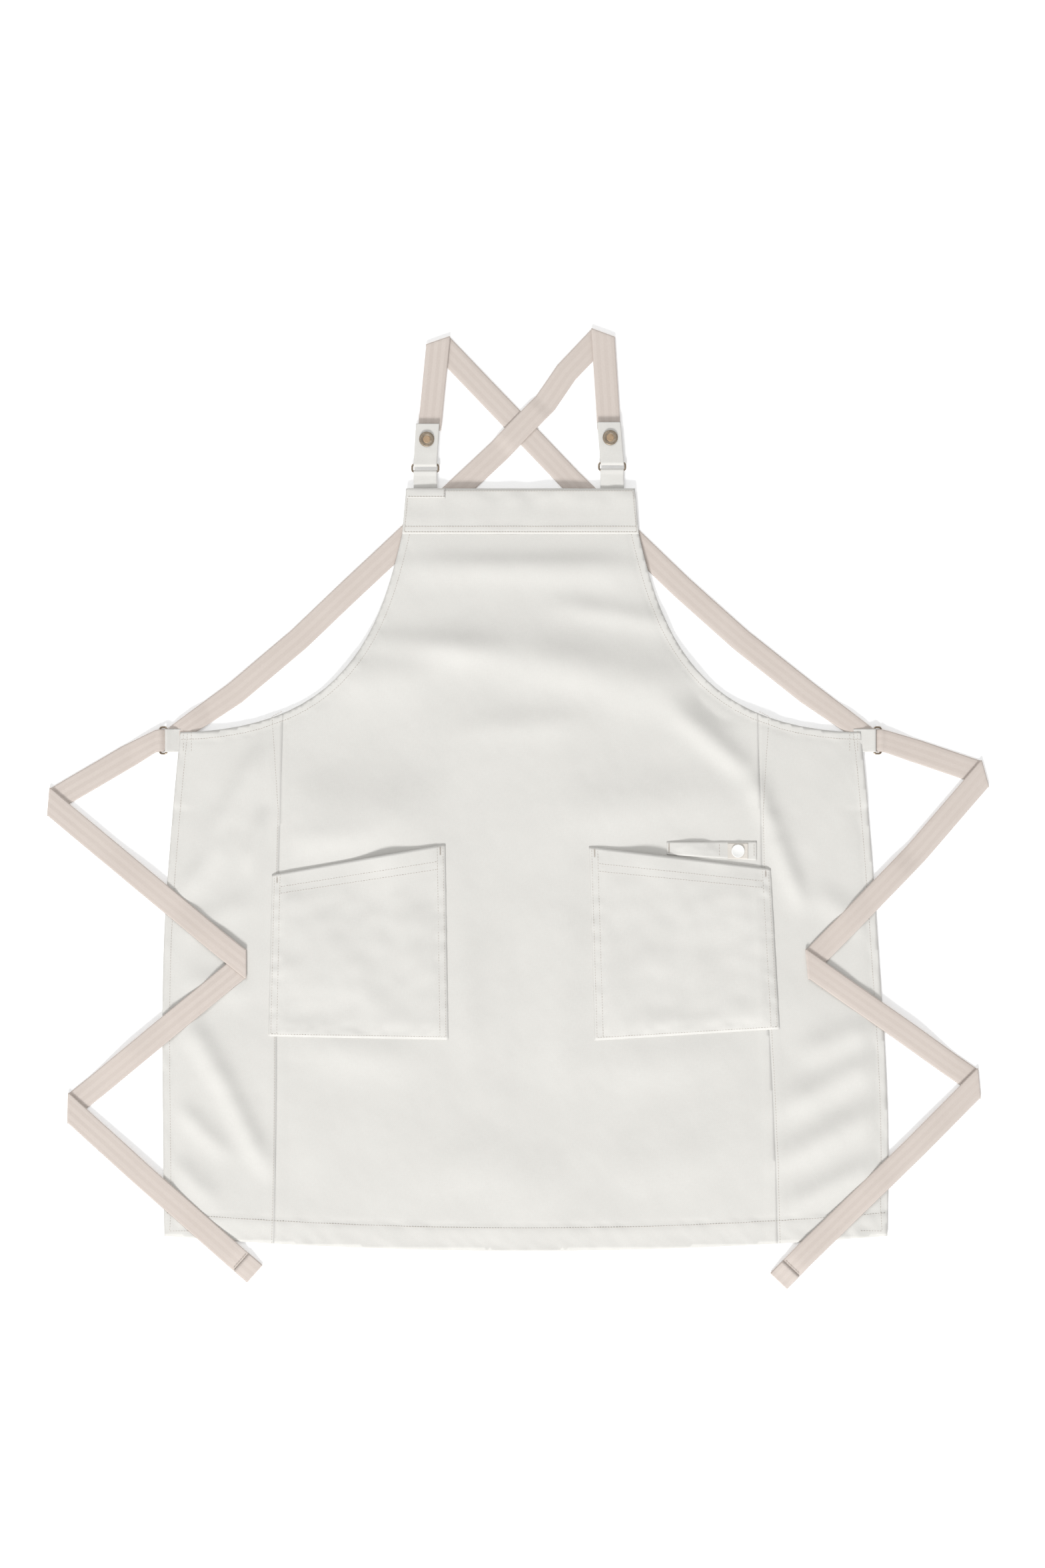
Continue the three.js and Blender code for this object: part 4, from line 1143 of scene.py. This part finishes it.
def bartack(centre, up, length, width, height):
    """Close zigzag stitches that lie across a short bar."""
    count = int(length / bartack_pitch)
    up = unit(np.array(up, float))
    side = np.array((up[1], -up[0]))
    spots = np.array([np.array(centre) + up * (k / (count - 1) - 0.5) * length for k in range(count)])
    stitches["centres"] += list(np.column_stack([spots, height(spots)]))
    for k in range(count):
        lean = up * (0.22 if k % 2 else -0.22)
        stitches["along"].append((*(side + lean), 0))
        stitches["reach"].append((width, 1.0, 1.1))


def on_top(points):
    return cloth_height(points) + cloth_rise


def on_band(points):
    return band_height(points) + cloth_rise + 0.0002


def inset(line, distance, toward):
    """The same line moved sideways in plan towards a point."""
    line = np.array(line, float)
    run = np.gradient(line, axis=0)
    side = np.column_stack([-run[:, 1], run[:, 0]])
    side /= np.linalg.norm(side, axis=1)[:, None]
    facing = np.sign(np.sum(side * (np.array(toward) - line), axis=1))
    return line + side * facing[:, None] * distance


# Hems, facings and princess seams: each row runs just inside the turned edge.
for side, sign in (("left", -1), ("right", 1)):
    sew(inset(armhole_lines[side], armhole_hem - 0.0008, (0, 0)), on_top)
    sew(inset(side_lines[side], armhole_hem - 0.0008, (0, -0.1)), on_top)
    sew(inset(seam_lines[side], 0.0022, (sign, -0.1)), on_top)
sew(inset(hem_line, bottom_hem_depth - 0.0012, (0, 0.2)), on_top)

# Bib band: two rows at the bottom, one at the top and one down each side, then the corner patch.
band_row_step = 0.01
band_corners = np.array([(-0.1262, bib_top - 0.0035), (-0.1305, band_low + 0.0022),
                         (0.1305, band_low + 0.0022), (0.1262, bib_top - 0.0035)])
band_top_row = np.array([(-0.126, bib_top - 0.0028), (0.126, bib_top - 0.0028)])
for row in (band_corners[1:3], band_corners[1:3] + (0, 0.0062), band_top_row):
    sew(denser(row, band_row_step, closed=False), on_band)
sew(band_corners[:2], on_band)
sew(band_corners[2:], on_band)
(patch_left, patch_bottom), (patch_right, patch_top) = patch_ring.min(0), patch_ring.max(0)
sew([(patch_left + 0.001, patch_bottom + 0.0018), (patch_right - 0.0012, patch_bottom + 0.0018),
     (patch_right - 0.0012, patch_top - 0.0015)], lambda points: on_band(points) + patch_above_band)

# Pockets: two rows down each side, one along the bottom, two under the mouth and a bartack at each corner.
down = np.linspace(0.0, 0.985, 70)
under_mouth = np.linspace(0.05, 0.95, 90)
pocket_rows = [(np.full(70, 0.014), down), (np.full(70, 0.986), down),
               (np.linspace(0.014, 0.986, 70), np.full(70, 0.985)),
               (np.full(70, 0.047), down), (np.full(70, 0.953), down),
               (under_mouth, np.full(90, 0.123)), (under_mouth, np.full(90, 0.083))]
for corners, seed in pocket_lines.values():
    for u, v in [*pocket_rows, (np.array([0.03]), np.array([0.03])), (np.array([0.97]), np.array([0.03]))]:
        flat = between(corners, u, v)
        top = cloth_height(flat) + band_lift + pocket_rise(u, v, seed) + cloth_rise

        def row_height(spots, flat=flat, top=top):
            return top[np.argmin(np.linalg.norm(spots[:, None] - flat[None], axis=2), axis=1)]

        if len(flat) > 1:
            sew(flat, row_height)
        else:
            bartack(flat[0], corners[3] - corners[0], 0.009, 0.0022, row_height)



# Loop: a short row at each side of its tag, and a bartack at its sewn end.
def on_loop(points):
    return surface(points) + 0.0011


loop_middle = (loop_corners[0][1] + loop_corners[3][1]) / 2 - 0.002
for x in (0.2235, 0.2625):
    sew([(x, loop_middle + 0.007), (x, loop_middle - 0.007)], on_loop)
bartack((0.167, -0.042), (0, 1), 0.010, 0.0024, on_loop)

# Tabs, and the turned ends of the tape.
for ring_x, ring_y, ring_lean in bib_rings.values():
    tab_foot = ring_y - 0.0135
    sew([(ring_x - 0.0115, tab_foot), (ring_x + 0.0115, tab_foot)],
        lambda points: np.full(len(points), 0.0034))
for x in (-0.3790, -0.3700, 0.3790, 0.3700):
    sew([(x, waist_y + 0.0105), (x, waist_y - 0.0125)], on_top)
for end, across, run in tape_ends.values():
    start = end[:2] + run * 0.0022
    sew([start - across * 0.0108, start + across * 0.0108],
        lambda points, top=end[2]: np.full(len(points), top + tape_thickness / 2 + 0.0001))

stitch_rows = row_tree("stitch_rows", (0, 0.0004, -0.0003), 7)
grow("stitching", stitch_rows, stitches["centres"], stitches["along"], stitches["reach"],
     thread_cream, 0.00030, 0.07, "apron", "twill")

# Short ribs round the rim of each snap cap.
rib_rows = row_tree("rib_rows", (0, 0.0005, -0.0002), 13)
rib_count = 40
rib_length, rib_circle, rib_level = 0.0021, 0.0070, 0.00502
for side, (snap_x, snap_y) in snap_places.items():
    angles = np.arange(rib_count) * 2 * math.pi / rib_count
    outward = np.column_stack([np.cos(angles), np.sin(angles), np.zeros(rib_count)])
    spots = np.array((snap_x, snap_y, bar_height + rib_level)) + outward * rib_circle
    grow(f"{side}_snap_ribs", rib_rows, spots, outward, [(rib_length, 1, 1)] * rib_count,
         snap_rim, 0.00021, 0.0, f"{side}_flap", "snap_brass")

# Picots along both edges of the tape.
picot_rows = row_tree("picot_rows", (0.0011, 0, 0), 11)
picot_pitch = 0.0017
for name, (middle, laterals) in tape_edges.items():
    run = run_along(middle)
    at = np.arange(0.002, run[-1] - 0.002, picot_pitch)
    centres, along, reach = [], [], []
    for edge in (-1, 1):
        border = middle.copy()
        border[:, :2] += laterals[:, :2] * edge * 0.985
        out = at_run(laterals[:, :2], run, at) * edge
        out /= np.linalg.norm(out, axis=1)[:, None]
        centres += list(at_run(border, run, at))
        along += list(np.column_stack([out[:, 1], -out[:, 0], np.zeros(len(at))]))
        reach += [(picot_pitch * 0.95, 1.0, 1.0)] * len(at)
    grow(f"{name}_picots", picot_rows, centres, along, reach, webbing, 0.00022, 0.05, "apron", "webbing")
